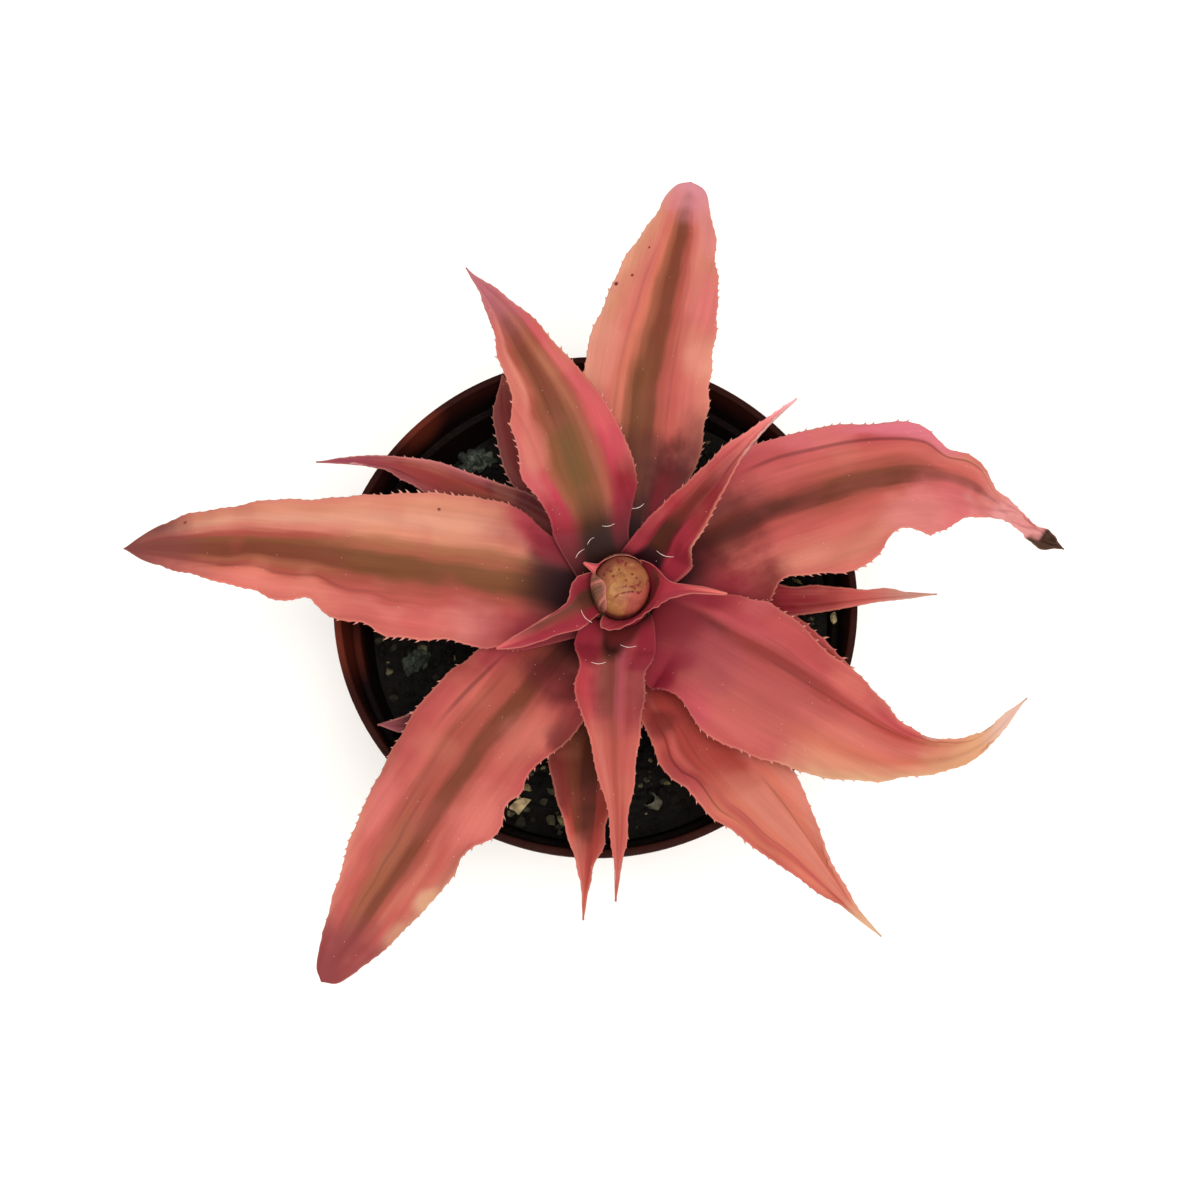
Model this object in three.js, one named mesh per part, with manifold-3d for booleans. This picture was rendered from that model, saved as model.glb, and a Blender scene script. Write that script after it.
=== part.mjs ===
// An earth star bromeliad growing in a round nursery pot.
// Millimetres, +Z up, origin at the centre of the pot's flat underside.
// Each leaf is made in a frame of its own: the stem's axis is its Z axis,
// +X runs out along the leaf and +Y to its left.

import * as THREE from 'three';
import { mergeVertices } from 'three/addons/utils/BufferGeometryUtils.js';
import Module from 'manifold-3d';

const wasm = await Module();
wasm.setup();

// Driving dimensions

const clearance = 0.3; // between pieces that touch

const pot = {
  height: 90,
  rimRadius: 52.5,
  lipHeight: 1.6,
  lipOverhang: 0.5,
  bandHeight: 10,
  bandStep: 1.6,
  bodyTopRadius: 49.4,
  baseRadius: 37.5,
  wall: 1,
  floor: 1.6,
  holes: 6,
  holeRadius: 3.5,
  holeCircle: 28,
};

const stem = {
  x: 5,
  y: -2,
  bottom: 62,
  shoulder: 76,
  top: 101,
  bottomRadius: 3.5,
  shoulderRadius: 6.4,
  topRadius: 6.2,
};

const mix = {
  level: 75, // height of the surface at the pot's centre
  fall: 0.075, // it lies lower on the left than on the right
  mound: 3, // heaped around the stem
  moundSpread: 18,
  ripple: 0.8,
};

const bladeThickness = 1;
const bladeSteps = { along: 16, across: 4 };
const leafRoot = stem.shoulderRadius + clearance + bladeThickness / 2;
const claspLength = 12; // percent of a leaf's length that wraps the stem
const narrowest = 0.3; // half the width of a leaf's tip

const colours = {
  pot: 0x4a1f1a,
  mix: 0x14100d,
  stem: 0x6b4a32,
  pink: 0xcf6e64,
  deepPink: 0xb8505a,
  rose: 0x96505a,
  dusk: 0x7a3f4c,
  bud: 0xb28c4e,
  bark: 0xa08a62,
  grit: 0x7d7a68,
};

// The leaves, from the outermost and lowest to the innermost.
// spine: [out, aside, up] in mm. left, right: [percent of length, half-width in mm].
// lift: how far the left and right margins stand above the midrib, in mm.

const leaves = [
  {
    name: 'leaf_low_southwest', facing: 208, colour: colours.dusk, lift: [1.2, 1.2],
    spine: [[20, 1.5, 85.5], [35, 2.5, 88.5], [45, 2.2, 91], [53.5, 0.2, 92.3]],
    rootHeight: 81.5,
    left: [[0, 4.5], [15, 6], [40, 5.6], [70, 4.3], [90, 2.7], [100, 0]],
    right: [[0, 4.5], [30, 4.2], [60, 3.7], [80, 2.1], [90, 0.7], [100, 0]],
  },
  {
    name: 'leaf_low_east', facing: 340, colour: colours.deepPink, lift: [1.2, 1.2],
    spine: [[14, 3.6, 84.7], [28, 3.7, 89], [40, 2.8, 93], [51.5, -2, 94.5]],
    rootHeight: 81.5,
    left: [[0, 4.5], [20, 4], [50, 5.1], [62, 5], [75, 3], [90, 1.3], [100, 0]],
    right: [[0, 4.5], [20, 5.1], [60, 6.4], [80, 5.5], [90, 3.7], [100, 0]],
  },
  {
    name: 'leaf_low_north', facing: 122, colour: colours.dusk, lift: [1.2, 1.2],
    spine: [[16, -2, 86.5], [31, -0.6, 89.5], [45, -2, 92], [54, -5, 93.5]],
    rootHeight: 84,
    left: [[0, 4.5], [20, 5.3], [45, 6.1], [70, 5.5], [80, 3.9], [90, 2.2], [100, 0]],
    right: [[0, 4.5], [20, 5.8], [45, 6.2], [70, 5.1], [80, 4.3], [90, 2.6], [100, 0]],
  },
  {
    name: 'leaf_south_southwest', facing: 263, colour: colours.rose, lift: [1.5, 1.5],
    spine: [[17, -2, 88.5], [34.5, -2.3, 93.5], [50, -0.8, 97.5], [63.5, 0.6, 100]],
    rootHeight: 84.5,
    left: [[0, 5], [15, 6.8], [40, 7.6], [50, 7.2], [60, 6.5], [70, 4.7], [80, 2.9], [90, 1.3], [100, 0]],
    right: [[0, 5], [15, 7], [40, 7.5], [50, 7], [60, 5.7], [70, 4.3], [80, 2.3], [90, 0.7], [100, 0]],
  },
  {
    name: 'leaf_east', facing: 0, colour: colours.deepPink, lift: [1.2, 1.2],
    spine: [[16, 1.6, 87.5], [33, 0, 92], [50, 0, 95], [62, 0, 96]],
    rootHeight: 84.5,
    left: [[0, 5], [20, 4.5], [40, 3.2], [60, 2.7], [80, 1.1], [100, 0]],
    right: [[0, 5], [20, 4.5], [40, 3.5], [60, 2.4], [80, 1.2], [100, 0]],
  },
  {
    name: 'leaf_southeast', facing: 307, colour: colours.pink, lift: [1.8, 1.8],
    spine: [
      [13, -3, 89], [24, -5, 93.5], [43, -6, 97.5],
      [62, -3.6, 97.8], [73, -2.8, 96.4], [81, -1.5, 95],
    ],
    rootHeight: 86.3,
    left: [
      [0, 5], [10, 7.6], [20, 9.8], [35, 11.3], [50, 10.7],
      [62, 8.7], [70, 6], [80, 2.5], [90, 0.6], [100, 0],
    ],
    right: [[0, 5], [10, 7.4], [25, 7.5], [40, 8], [55, 6.6], [70, 4.9], [82, 2.5], [92, 0.8], [100, 0]],
  },
  {
    name: 'leaf_west_northwest', facing: 155, colour: colours.rose, lift: [1.5, 1.5],
    spine: [
      [12, -4.5, 91], [22, -7.3, 94], [35, -6.8, 96],
      [48, -5.6, 97.2], [57, -3.2, 98], [66.5, 1.3, 98.5],
    ],
    rootHeight: 88,
    left: [[0, 5], [15, 6.5], [30, 6.2], [50, 4.9], [65, 4], [75, 2.4], [82, 1.2], [100, 0]],
    right: [[0, 4.5], [20, 4.3], [40, 4.7], [60, 4], [70, 2.7], [80, 1.5], [90, 0.8], [100, 0]],
  },
  {
    name: 'leaf_east_northeast', facing: 29, colour: colours.pink, lift: [2.5, 2.5],
    spine: [
      [15, 1, 92.5], [29, 0.3, 96.5], [43, -2.3, 98.6], [56, -5.4, 98.8],
      [65, -9, 98], [72, -14.5, 96.5], [77, -22, 94], [84, -33.5, 90],
    ],
    rootHeight: 88.2,
    left: [
      [0, 5], [10, 8.8], [20, 12.2], [35, 14.2], [50, 13.2], [60, 12.3], [65, 11],
      [69, 7.2], [73, 7.3], [76, 6.5], [80, 2.2], [86, 2.1], [92, 0.8], [95, 1.5], [100, 0],
    ],
    right: [
      [0, 5], [5, 9], [12, 15.3], [20, 16.6], [26, 14.4], [32, 14], [42, 15.6], [50, 13.6], [55, 10.8],
      [60, 10.8], [65, 11.8], [70, 10.4], [75, 7.4], [80, 5.2], [84, 2.6], [90, 2.2], [95, 2.9], [100, 0],
    ],
  },
  {
    name: 'leaf_southwest', facing: 234, colour: colours.pink, lift: [2.2, 2.2],
    spine: [[14, -3, 94], [31, -2.7, 98], [49, -2.5, 99], [70, -1.5, 97], [92, -1.6, 92]],
    rootHeight: 90,
    left: [
      [0, 6], [5, 10], [12, 13.8], [25, 12.6], [33, 11], [40, 9.6], [50, 10.7],
      [55, 10.4], [65, 8.3], [72, 8.4], [82, 6.9], [90, 4.9], [96, 2.8], [100, 0],
    ],
    right: [
      [0, 6], [10, 7.3], [20, 11.5], [27, 13.3], [40, 14.7], [55, 14],
      [70, 11.6], [85, 7.1], [95, 4], [98, 2.5], [100, 0],
    ],
  },
  {
    name: 'leaf_north', facing: 80, colour: colours.pink, lift: [2.2, 2.2],
    spine: [[15, 0.5, 94], [31, 1.5, 98.8], [48, 2.3, 101.8], [69, 1.3, 103], [90, 0.7, 102]],
    rootHeight: 91,
    left: [
      [0, 5], [10, 8], [25, 11.2], [38, 12.6], [55, 12], [65, 10.5],
      [75, 9.2], [85, 6.9], [92, 5.2], [97, 3], [100, 0],
    ],
    right: [
      [0, 5], [10, 6.5], [18, 9.3], [27, 12.1], [38, 12.8], [55, 12],
      [70, 10.4], [85, 7], [93, 4.9], [98, 3], [100, 0],
    ],
  },
  {
    name: 'leaf_west', facing: 175, colour: colours.pink, lift: [2.5, 2.2],
    spine: [[15, -1, 97], [34, -1, 101], [52, -1.5, 102], [76, -2.5, 100], [99.5, -1.5, 94]],
    rootHeight: 93,
    left: [
      [0, 6.5], [6, 12], [20, 16], [30, 15.8], [40, 15], [46, 13.3], [51, 13],
      [56, 10.7], [65, 10.2], [72, 8.2], [85, 5.7], [95, 2.7], [100, 0],
    ],
    right: [
      [0, 6], [9, 8.5], [15, 13], [22, 14.5], [30, 14.5], [45, 12.6],
      [60, 10.2], [75, 8.3], [85, 6.2], [95, 2.8], [100, 0],
    ],
  },
  {
    name: 'leaf_east_southeast', facing: 332, colour: colours.pink, lift: [2.5, 2.5],
    spine: [
      [14, 1.5, 97], [26, 0, 101], [42, -1, 102], [58, -1.5, 101],
      [66.5, 0.3, 100], [73, 4.8, 100], [77.7, 16, 102],
    ],
    rootHeight: 93.5,
    left: [
      [0, 5.5], [10, 6], [20, 9], [28, 10], [34, 9.4], [40, 7.2],
      [50, 6.5], [60, 4.3], [68, 2], [80, 1.5], [90, 1], [100, 0],
    ],
    right: [
      [0, 7], [4, 12], [8, 16], [20, 15.8], [30, 18.5], [42, 17.2], [55, 14.1],
      [65, 10], [70, 7], [80, 3.6], [88, 1.6], [95, 0.6], [100, 0],
    ],
  },
  {
    name: 'leaf_north_northwest', facing: 116, colour: colours.pink, lift: [2.2, 2.2],
    spine: [[16, -2, 101], [32, -4, 108], [48, -3, 111], [60, -2, 111], [71, -0.3, 110]],
    rootHeight: 95.2,
    left: [
      [0, 6], [10, 8.8], [17, 9], [23, 10.5], [30, 12], [37, 11], [45, 9.7],
      [55, 8], [65, 6], [75, 3.6], [85, 2], [95, 0.7], [100, 0],
    ],
    right: [
      [0, 6], [8, 5.5], [14, 7.5], [20, 9.7], [30, 9.5], [40, 8.8],
      [50, 7.5], [65, 5.8], [75, 4.6], [85, 2.8], [95, 0.6], [100, 0],
    ],
  },
  {
    name: 'leaf_south', facing: 269, colour: colours.pink, lift: [1.8, 1.8],
    spine: [[17, -1, 102.5], [33, -1.2, 108], [50, -0.1, 110.8], [61, -0.3, 111.5]],
    rootHeight: 96.5,
    left: [
      [0, 6.5], [7, 7.3], [15, 7], [21, 5.7], [27, 5.7],
      [35, 5.6], [50, 4.7], [65, 3.1], [80, 1.6], [100, 0],
    ],
    right: [
      [0, 6], [8, 8], [14, 8], [20, 6.6], [28, 7.1], [40, 5.9],
      [50, 4.2], [60, 2.9], [75, 1.5], [90, 0.6], [100, 0],
    ],
  },
  {
    name: 'leaf_northeast', facing: 48, colour: colours.deepPink, lift: [3, 4],
    spine: [[13.5, 0.5, 104.5], [24.5, -1, 113], [34, -2.5, 119], [43, -4.5, 124]],
    rootHeight: 97.2,
    left: [[0, 6], [10, 4.5], [25, 2.8], [40, 2], [55, 2.2], [70, 1.4], [85, 0.7], [100, 0]],
    right: [[0, 6], [10, 8.5], [20, 7], [35, 5.3], [50, 4.1], [65, 2.1], [80, 0.6], [100, 0]],
  },
];

// The young leaves wrap the bud. turn: [percent of length, radius from the stem's axis,
// degrees turned to the left, degrees turned to the right, height, flare of the left margin,
// flare of the right margin].

const youngLeaves = [
  {
    name: 'young_leaf_east', facing: -13, thickness: 0.7, shift: [0, 0],
    turn: [
      [0, 7.1, 60, 107, 100.2, 0, 0], [14, 6.9, 60, 107, 102, -0.3, 1.2], [30, 6.8, 57, 106, 104, -0.8, 3],
      [46, 7, 50, 98, 106.2, -0.9, 3.4], [55, 7.3, 36, 78, 107, -0.8, 2.3], [62, 7.9, 26, 55, 107.5, -0.8, 1],
      [68, 8.6, 16, 36, 108.1, -0.6, 0.3], [76, 9.8, 7, 20, 108.7, -0.3, 0], [84, 12.3, 3.5, 7, 109.4, 0, 0],
      [92, 15.6, 2.2, 3, 110, 0, 0], [100, 20, 0.7, 0.7, 110.5, 0, 0],
    ],
  },
  {
    name: 'young_leaf_southwest', facing: 213, thickness: 0.7, shift: [0, 0],
    turn: [
      [0, 7, 20, 77, 99.5, 0, 0], [18, 7.2, 22, 66, 102.3, 0.6, 0], [32, 8.2, 22, 46, 104.8, 1.4, -0.6],
      [41, 9.3, 22, 27, 106.2, 1.2, 0], [48, 10.8, 22, 10, 107, 0.8, 0], [55, 12.8, 20, 4.5, 107.6, 0, 0],
      [65, 16.2, 13, 2.2, 108.7, 0, 0], [80, 20.5, 8.5, 1, 109.8, 0, 0], [91, 24.2, 4.6, 0.7, 110.3, 0, 0],
      [100, 27.6, 0.5, 0.5, 110.5, 0, 0],
    ],
  },
  {
    name: 'young_leaf_northwest', facing: 152, thickness: 0.6, shift: [0.4, -1.4],
    turn: [
      [0, 5.5, 65, 92, 101.3, 0, 0], [40, 5.5, 64, 92, 104.3, 0, 0], [60, 5.6, 58, 88, 106.2, 0, 0],
      [72, 5.7, 38, 72, 107.2, 0, 0], [82, 6, 18, 40, 107.8, 0, 0], [90, 6.6, 8, 14, 108.2, 0, 0],
      [100, 8.6, 1.5, 1.5, 108.6, 0, 0],
    ],
  },
];

const bud = {
  shift: [0.4, -1.4],
  radius: 4.9,
  height: 8.6,
};

// Loose pieces on the potting mix: place, size, turn about Z in degrees.

const potLedge = pot.height - pot.bandHeight + pot.wall; // inside, at the foot of the band

const looseBits = [
  { name: 'grit_clump_northwest', x: -25.9, y: 35.2, size: [9.5, 6, 3.4], turn: 36, colour: colours.grit },
  { name: 'grit_clump_west', x: -37.9, y: -9.9, size: [7, 5, 2.8], turn: 35, colour: colours.grit },
  { name: 'bark_chip_south', x: -15, y: -39.9, size: [4.6, 4, 1.8], turn: 40, colour: colours.bark },
  { name: 'bark_curl_south', x: 11.5, y: -39.5, size: [3.6, 3, 1.8], turn: 15, colour: colours.bark },
  { name: 'bark_chip_east', x: 48.9, y: -2.6, size: [1.5, 2.6, 1.4], turn: -3, colour: colours.bark, ground: potLedge },
];

// Shared tools

function material(colour, roughness) {
  return new THREE.MeshStandardMaterial({ color: colour, roughness, metalness: 0 });
}

function named(name, geometry, colour, roughness) {
  const mesh = new THREE.Mesh(geometry, material(colour, roughness));
  mesh.name = name;
  return mesh;
}

// Smooth curve through rows of [position, value...], read at one position.
function curveAt(rows, at) {
  let i = 0;
  while (i < rows.length - 2 && at >= rows[i + 1][0]) i += 1;
  const slope = (k, c) => {
    const before = rows[Math.max(k - 1, 0)];
    const after = rows[Math.min(k + 1, rows.length - 1)];
    return (after[c] - before[c]) / (after[0] - before[0]);
  };
  const step = rows[i + 1][0] - rows[i][0];
  const t = (at - rows[i][0]) / step;
  const values = [];
  for (let c = 1; c < rows[i].length; c += 1) {
    values.push(
      (2 * t ** 3 - 3 * t ** 2 + 1) * rows[i][c] +
        (t ** 3 - 2 * t ** 2 + t) * step * slope(i, c) +
        (3 * t ** 2 - 2 * t ** 3) * rows[i + 1][c] +
        (t ** 3 - t ** 2) * step * slope(i + 1, c),
    );
  }
  return values;
}

// A thin slab bent on to a surface: point(at, across) gives its middle,
// with at from 0 to 100 and across from 1 (left margin) to -1 (right margin).
function bentSlab(point, thickness, steps) {
  const geometry = new THREE.BoxGeometry(2, 100, 1, steps.across, steps.along, 1);
  const positions = geometry.attributes.position;
  const small = 0.5;
  for (let i = 0; i < positions.count; i += 1) {
    const across = -positions.getX(i);
    const at = positions.getY(i) + 50;
    const side = positions.getZ(i);
    const forward = point(Math.min(at + small, 100), across).sub(point(Math.max(at - small, 0), across));
    const leftward = point(at, Math.min(across + 0.05, 1)).sub(point(at, Math.max(across - 0.05, -1)));
    const normal = forward.cross(leftward).normalize();
    const middle = point(at, across).addScaledVector(normal, side * thickness);
    positions.setXYZ(i, middle.x, middle.y, middle.z);
  }
  return geometry;
}

function toSolid(geometry) {
  const bare = geometry.clone();
  bare.deleteAttribute('normal');
  bare.deleteAttribute('uv');
  const merged = mergeVertices(bare, 1e-4);
  return new wasm.Manifold(
    new wasm.Mesh({
      numProp: 3,
      vertProperties: merged.attributes.position.array,
      triVerts: new Uint32Array(merged.index.array),
    }),
  );
}

function toGeometry(solid) {
  const mesh = solid.getMesh();
  const geometry = new THREE.BufferGeometry();
  geometry.setAttribute('position', new THREE.BufferAttribute(mesh.vertProperties, 3));
  geometry.setIndex(new THREE.BufferAttribute(mesh.triVerts, 1));
  return geometry;
}

// Turns a profile of [radius, height] points about the Z axis.
function turned(profile, segments) {
  const points = profile.map(([radius, height]) => new THREE.Vector2(radius, height));
  return new THREE.LatheGeometry(points, segments).rotateX(Math.PI / 2);
}

// The pot: a tapered cup with a stacking band, a rolled lip and drain holes

function bodyRadius(height) {
  const bandBottom = pot.height - pot.bandHeight;
  return pot.baseRadius + ((pot.bodyTopRadius - pot.baseRadius) * height) / bandBottom;
}

function makePot() {
  const bandBottom = pot.height - pot.bandHeight;
  const bandRadius = pot.bodyTopRadius + pot.bandStep;
  const underLip = pot.rimRadius - pot.lipOverhang;
  const shell = toSolid(
    turned(
      [
        [0, 0],
        [pot.baseRadius, 0],
        [pot.bodyTopRadius, bandBottom],
        [bandRadius, bandBottom],
        [underLip, pot.height - pot.lipHeight],
        [pot.rimRadius, pot.height - pot.lipHeight],
        [pot.rimRadius, pot.height],
        [underLip - pot.wall, pot.height],
        [bandRadius - pot.wall, bandBottom + pot.wall],
        [bodyRadius(bandBottom + pot.wall) - pot.wall, bandBottom + pot.wall],
        [bodyRadius(pot.floor) - pot.wall, pot.floor],
        [0, pot.floor],
      ],
      48,
    ),
  );
  let drained = shell;
  for (let i = 0; i < pot.holes; i += 1) {
    const angle = (i * 2 * Math.PI) / pot.holes;
    const drill = new THREE.CylinderGeometry(pot.holeRadius, pot.holeRadius, pot.floor * 3, 16)
      .rotateX(Math.PI / 2)
      .translate(pot.holeCircle * Math.cos(angle), pot.holeCircle * Math.sin(angle), pot.floor / 2);
    drained = drained.subtract(toSolid(drill));
  }
  return named('pot', toGeometry(drained), colours.pot, 0.4);
}

// The potting mix: fills the pot, uneven on top, with a pocket for the stem's foot

function mixHeight(x, y) {
  const fromStem = Math.hypot(x - stem.x, y - stem.y);
  const mound = mix.mound * Math.exp(-((fromStem / mix.moundSpread) ** 2));
  const ripple = mix.ripple * Math.sin(x / 7) * Math.cos(y / 9);
  return mix.level + mix.fall * x + mound + ripple;
}

function makeMix() {
  const bottom = pot.floor + clearance;
  const bottomRadius = bodyRadius(bottom) - pot.wall - clearance;
  const rings = [1, 0.86, 0.72, 0.58, 0.44, 0.3, 0.15];
  const profile = [[0, bottom], [bottomRadius, bottom], ...rings.map((r) => [r, mix.level]), [0, mix.level]];
  const body = turned(profile, 36);
  const positions = body.attributes.position;
  for (let i = 0; i < positions.count; i += 1) {
    if (positions.getZ(i) <= bottom) continue;
    const share = Math.hypot(positions.getX(i), positions.getY(i));
    const reach = bodyRadius(mix.level) - pot.wall - clearance;
    let x = positions.getX(i) * reach;
    let y = positions.getY(i) * reach;
    const height = mixHeight(x, y);
    if (share > 0.99) {
      const fit = (bodyRadius(height) - pot.wall - clearance) / reach;
      x *= fit;
      y *= fit;
    }
    positions.setXYZ(i, x, y, height);
  }
  const pocketRadius = stem.shoulderRadius + clearance;
  const pocket = new THREE.CylinderGeometry(pocketRadius, pocketRadius, 40, 24)
    .rotateX(Math.PI / 2)
    .translate(stem.x, stem.y, stem.bottom - clearance + 20);
  return named('potting_mix', toGeometry(toSolid(body).subtract(toSolid(pocket))), colours.mix, 0.95);
}

function makeLooseBit({ name, x, y, ground, size, turn, colour }) {
  const geometry = new THREE.IcosahedronGeometry(0.5, 1);
  const positions = geometry.attributes.position;
  for (let i = 0; i < positions.count; i += 1) {
    const dent = 1 + 0.12 * Math.sin(positions.getX(i) * 9 + x) * Math.cos(positions.getY(i) * 11 + y);
    positions.setXYZ(i, positions.getX(i) * dent, positions.getY(i) * dent, positions.getZ(i));
  }
  geometry.scale(...size);
  const half = size[0] / 2;
  const nearby = [[0, 0], [half, 0], [-half, 0], [0, half], [0, -half]];
  const mixTop = Math.max(...nearby.map(([dx, dy]) => mixHeight(x + dx, y + dy) - 0.03 * Math.hypot(dx, dy)));
  const bit = named(name, geometry, colour, 0.9);
  bit.position.set(x, y, (ground ?? mixTop) + clearance + size[2] / 2);
  bit.rotation.z = THREE.MathUtils.degToRad(turn);
  return bit;
}

// The plant

function makeStem() {
  const profile = [
    [0, stem.bottom],
    [stem.bottomRadius, stem.bottom],
    [stem.shoulderRadius, stem.shoulder],
    [stem.topRadius, stem.top],
    [0, stem.top],
  ];
  return named('stem', turned(profile, 24), colours.stem, 0.7);
}

function bladePoint(leaf) {
  const spine = [[leafRoot, 0, leaf.rootHeight], ...leaf.spine];
  let run = 0;
  const runs = spine.map((p, i) => {
    if (i > 0) run += Math.hypot(...p.map((value, c) => value - spine[i - 1][c]));
    return run;
  });
  const rows = spine.map((p, i) => [(100 * runs[i]) / run, ...p]);
  return (at, across) => {
    const [out, aside, up] = curveAt(rows, at);
    const before = curveAt(rows, Math.max(at - 1, 0));
    const after = curveAt(rows, Math.min(at + 1, 100));
    const heading = Math.atan2(after[1] - before[1], after[0] - before[0]);
    const half = Math.max(curveAt(across >= 0 ? leaf.left : leaf.right, at)[0], narrowest) * across;
    const flat = [out - Math.sin(heading) * half, aside + Math.cos(heading) * half];
    const turn = half / leafRoot;
    const wrapped = [leafRoot * Math.cos(turn), leafRoot * Math.sin(turn)];
    const clasp = THREE.MathUtils.smoothstep(claspLength - at, 0, claspLength);
    const rise = 0.15 + 0.85 * THREE.MathUtils.smoothstep(at, 0, 22);
    const lift = leaf.lift[across >= 0 ? 0 : 1] * rise * (1 - at / 100) ** 0.8 * across ** 2;
    return new THREE.Vector3(
      flat[0] + (wrapped[0] - flat[0]) * clasp,
      flat[1] + (wrapped[1] - flat[1]) * clasp,
      up + lift,
    );
  };
}

function makeLeaf(leaf) {
  const mesh = named(leaf.name, bentSlab(bladePoint(leaf), bladeThickness, bladeSteps), leaf.colour, 0.5);
  mesh.rotation.z = THREE.MathUtils.degToRad(leaf.facing);
  return mesh;
}

function makeYoungLeaf(leaf) {
  const point = (at, across) => {
    const [radius, left, right, up, flareLeft, flareRight] = curveAt(leaf.turn, at);
    const angle = THREE.MathUtils.degToRad(across * Math.max(across >= 0 ? left : right, 0.6));
    const reach = radius + (across >= 0 ? flareLeft : flareRight) * across * across;
    return new THREE.Vector3(reach * Math.cos(angle), reach * Math.sin(angle), up);
  };
  const geometry = bentSlab(point, leaf.thickness, { along: 16, across: 8 });
  const mesh = named(leaf.name, geometry, colours.deepPink, 0.5);
  mesh.position.set(...leaf.shift, 0);
  mesh.rotation.z = THREE.MathUtils.degToRad(leaf.facing);
  return mesh;
}

function makeBud() {
  const base = stem.top + clearance;
  const waist = bud.radius - 0.4;
  const dome = [];
  for (let i = 0; i <= 6; i += 1) {
    const angle = (i * Math.PI) / 12;
    dome.push([bud.radius * Math.cos(angle), base + 2.4 + (bud.height - 2.4) * Math.sin(angle)]);
  }
  dome[6][0] = 0;
  const mesh = named('crown_bud', turned([[0, base], [waist, base], ...dome], 20), colours.bud, 0.5);
  mesh.position.set(...bud.shift, 0);
  return mesh;
}

function makePlant() {
  const plant = new THREE.Group();
  plant.add(makeStem(), makeBud());
  plant.add(...leaves.map(makeLeaf));
  plant.add(...youngLeaves.map(makeYoungLeaf));
  plant.position.set(stem.x, stem.y, 0);
  return plant;
}

const pottedPlant = new THREE.Group();
pottedPlant.add(makePot(), makeMix(), makePlant());
pottedPlant.add(...looseBits.map(makeLooseBit));

export default pottedPlant;
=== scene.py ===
# Earth star bromeliad in its nursery pot, finished over the CAD frame.
# Sizes are in millimetres until a mesh is made; mm turns them into scene metres.
import math
import bmesh
import bpy
import numpy as np
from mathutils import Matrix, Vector


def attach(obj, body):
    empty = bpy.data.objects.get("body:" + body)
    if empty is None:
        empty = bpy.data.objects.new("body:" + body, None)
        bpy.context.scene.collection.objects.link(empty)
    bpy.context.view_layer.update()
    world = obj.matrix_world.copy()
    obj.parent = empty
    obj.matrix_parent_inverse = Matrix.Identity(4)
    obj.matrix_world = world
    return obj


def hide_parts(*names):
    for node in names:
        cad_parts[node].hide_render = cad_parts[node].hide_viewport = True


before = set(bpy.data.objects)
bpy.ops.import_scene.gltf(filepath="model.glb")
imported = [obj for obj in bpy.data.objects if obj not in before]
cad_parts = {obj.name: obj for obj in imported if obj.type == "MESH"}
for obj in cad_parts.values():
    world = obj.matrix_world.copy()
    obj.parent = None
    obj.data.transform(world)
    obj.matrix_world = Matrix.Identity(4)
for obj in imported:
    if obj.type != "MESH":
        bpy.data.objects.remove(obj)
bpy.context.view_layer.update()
mm = 0.001
clearance = 0.3  # mm between pieces that sit in one another
scene = bpy.context.scene
scene.view_settings.view_transform = "Standard"  # keeps the pale floor pale
print("frame loaded:", len(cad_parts), "nodes")

# Paints, as 8-bit screen colours

paint = {
    "cream": (226, 163, 137), "peachCream": (222, 150, 122), "peach": (219, 137, 119),
    "salmon": (214, 120, 109), "coral": (204, 103, 95), "orangeSalmon": (216, 124, 102),
    "rose": (194, 86, 88), "pink": (212, 100, 105), "magenta": (203, 72, 90),
    "crimson": (176, 56, 70), "brick": (180, 76, 68), "rust": (156, 64, 54),
    "rosyBrown": (177, 89, 76), "tanBrown": (167, 98, 73), "brown": (131, 70, 50),
    "darkBrown": (112, 58, 42), "bark": (90, 46, 34), "olive": (138, 86, 55),
    "leafOlive": (122, 84, 46), "oliveTan": (174, 112, 80), "tan": (222, 172, 136),
    "mauve": (190, 108, 114), "dusk": (150, 74, 78), "maroon": (104, 36, 44), "wine": (146, 44, 60),
    "throat": (34, 8, 14), "withered": (64, 42, 32), "silver": (200, 176, 168),
    "backPink": (172, 98, 98), "backBrown": (136, 82, 72),
}


def ink(name):  # scene colour of a paint name or of an 8-bit triple
    values = paint[name] if isinstance(name, str) else name
    shades = [v / 255 for v in values]
    return tuple(s / 12.92 if s <= 0.04045 else ((s + 0.055) / 1.055) ** 2.4 for s in shades) + (1.0,)


# Camera, floor and light

viewpoint = {
    "lens": 45.0,
    "target": (0.9, -1.3, 90.0),
    "distance": 300.0,
    "elevation": 72.7,  # degrees
}

studio = {
    "skyStrength": 0.575,
    "skyColour": (255, 253, 250),
    "keyFrom": (0.12, -0.3, 0.95),  # direction towards the key light
    "keyDistance": 2.4,
    "keySize": 1.3,
    "keyPower": 34.5,
    "keyColour": (255, 249, 241),
    "topPlace": (0.0, -0.75, 2.5),
    "topSize": 2.4,
    "topPower": 31.0,
    "floorColour": (252, 251, 249),
}


def placeCamera():
    tilt = math.radians(viewpoint["elevation"])
    target = Vector(viewpoint["target"]) * mm
    back = Vector((0, -math.cos(tilt), math.sin(tilt)))
    camera = bpy.data.objects.new("camera", bpy.data.cameras.new("camera"))
    camera.data.lens = viewpoint["lens"]
    camera.data.clip_start = 0.01
    camera.location = target + back * viewpoint["distance"] * mm
    camera.rotation_euler = (-back).to_track_quat("-Z", "Y").to_euler()
    scene.collection.objects.link(camera)
    scene.camera = camera


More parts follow.
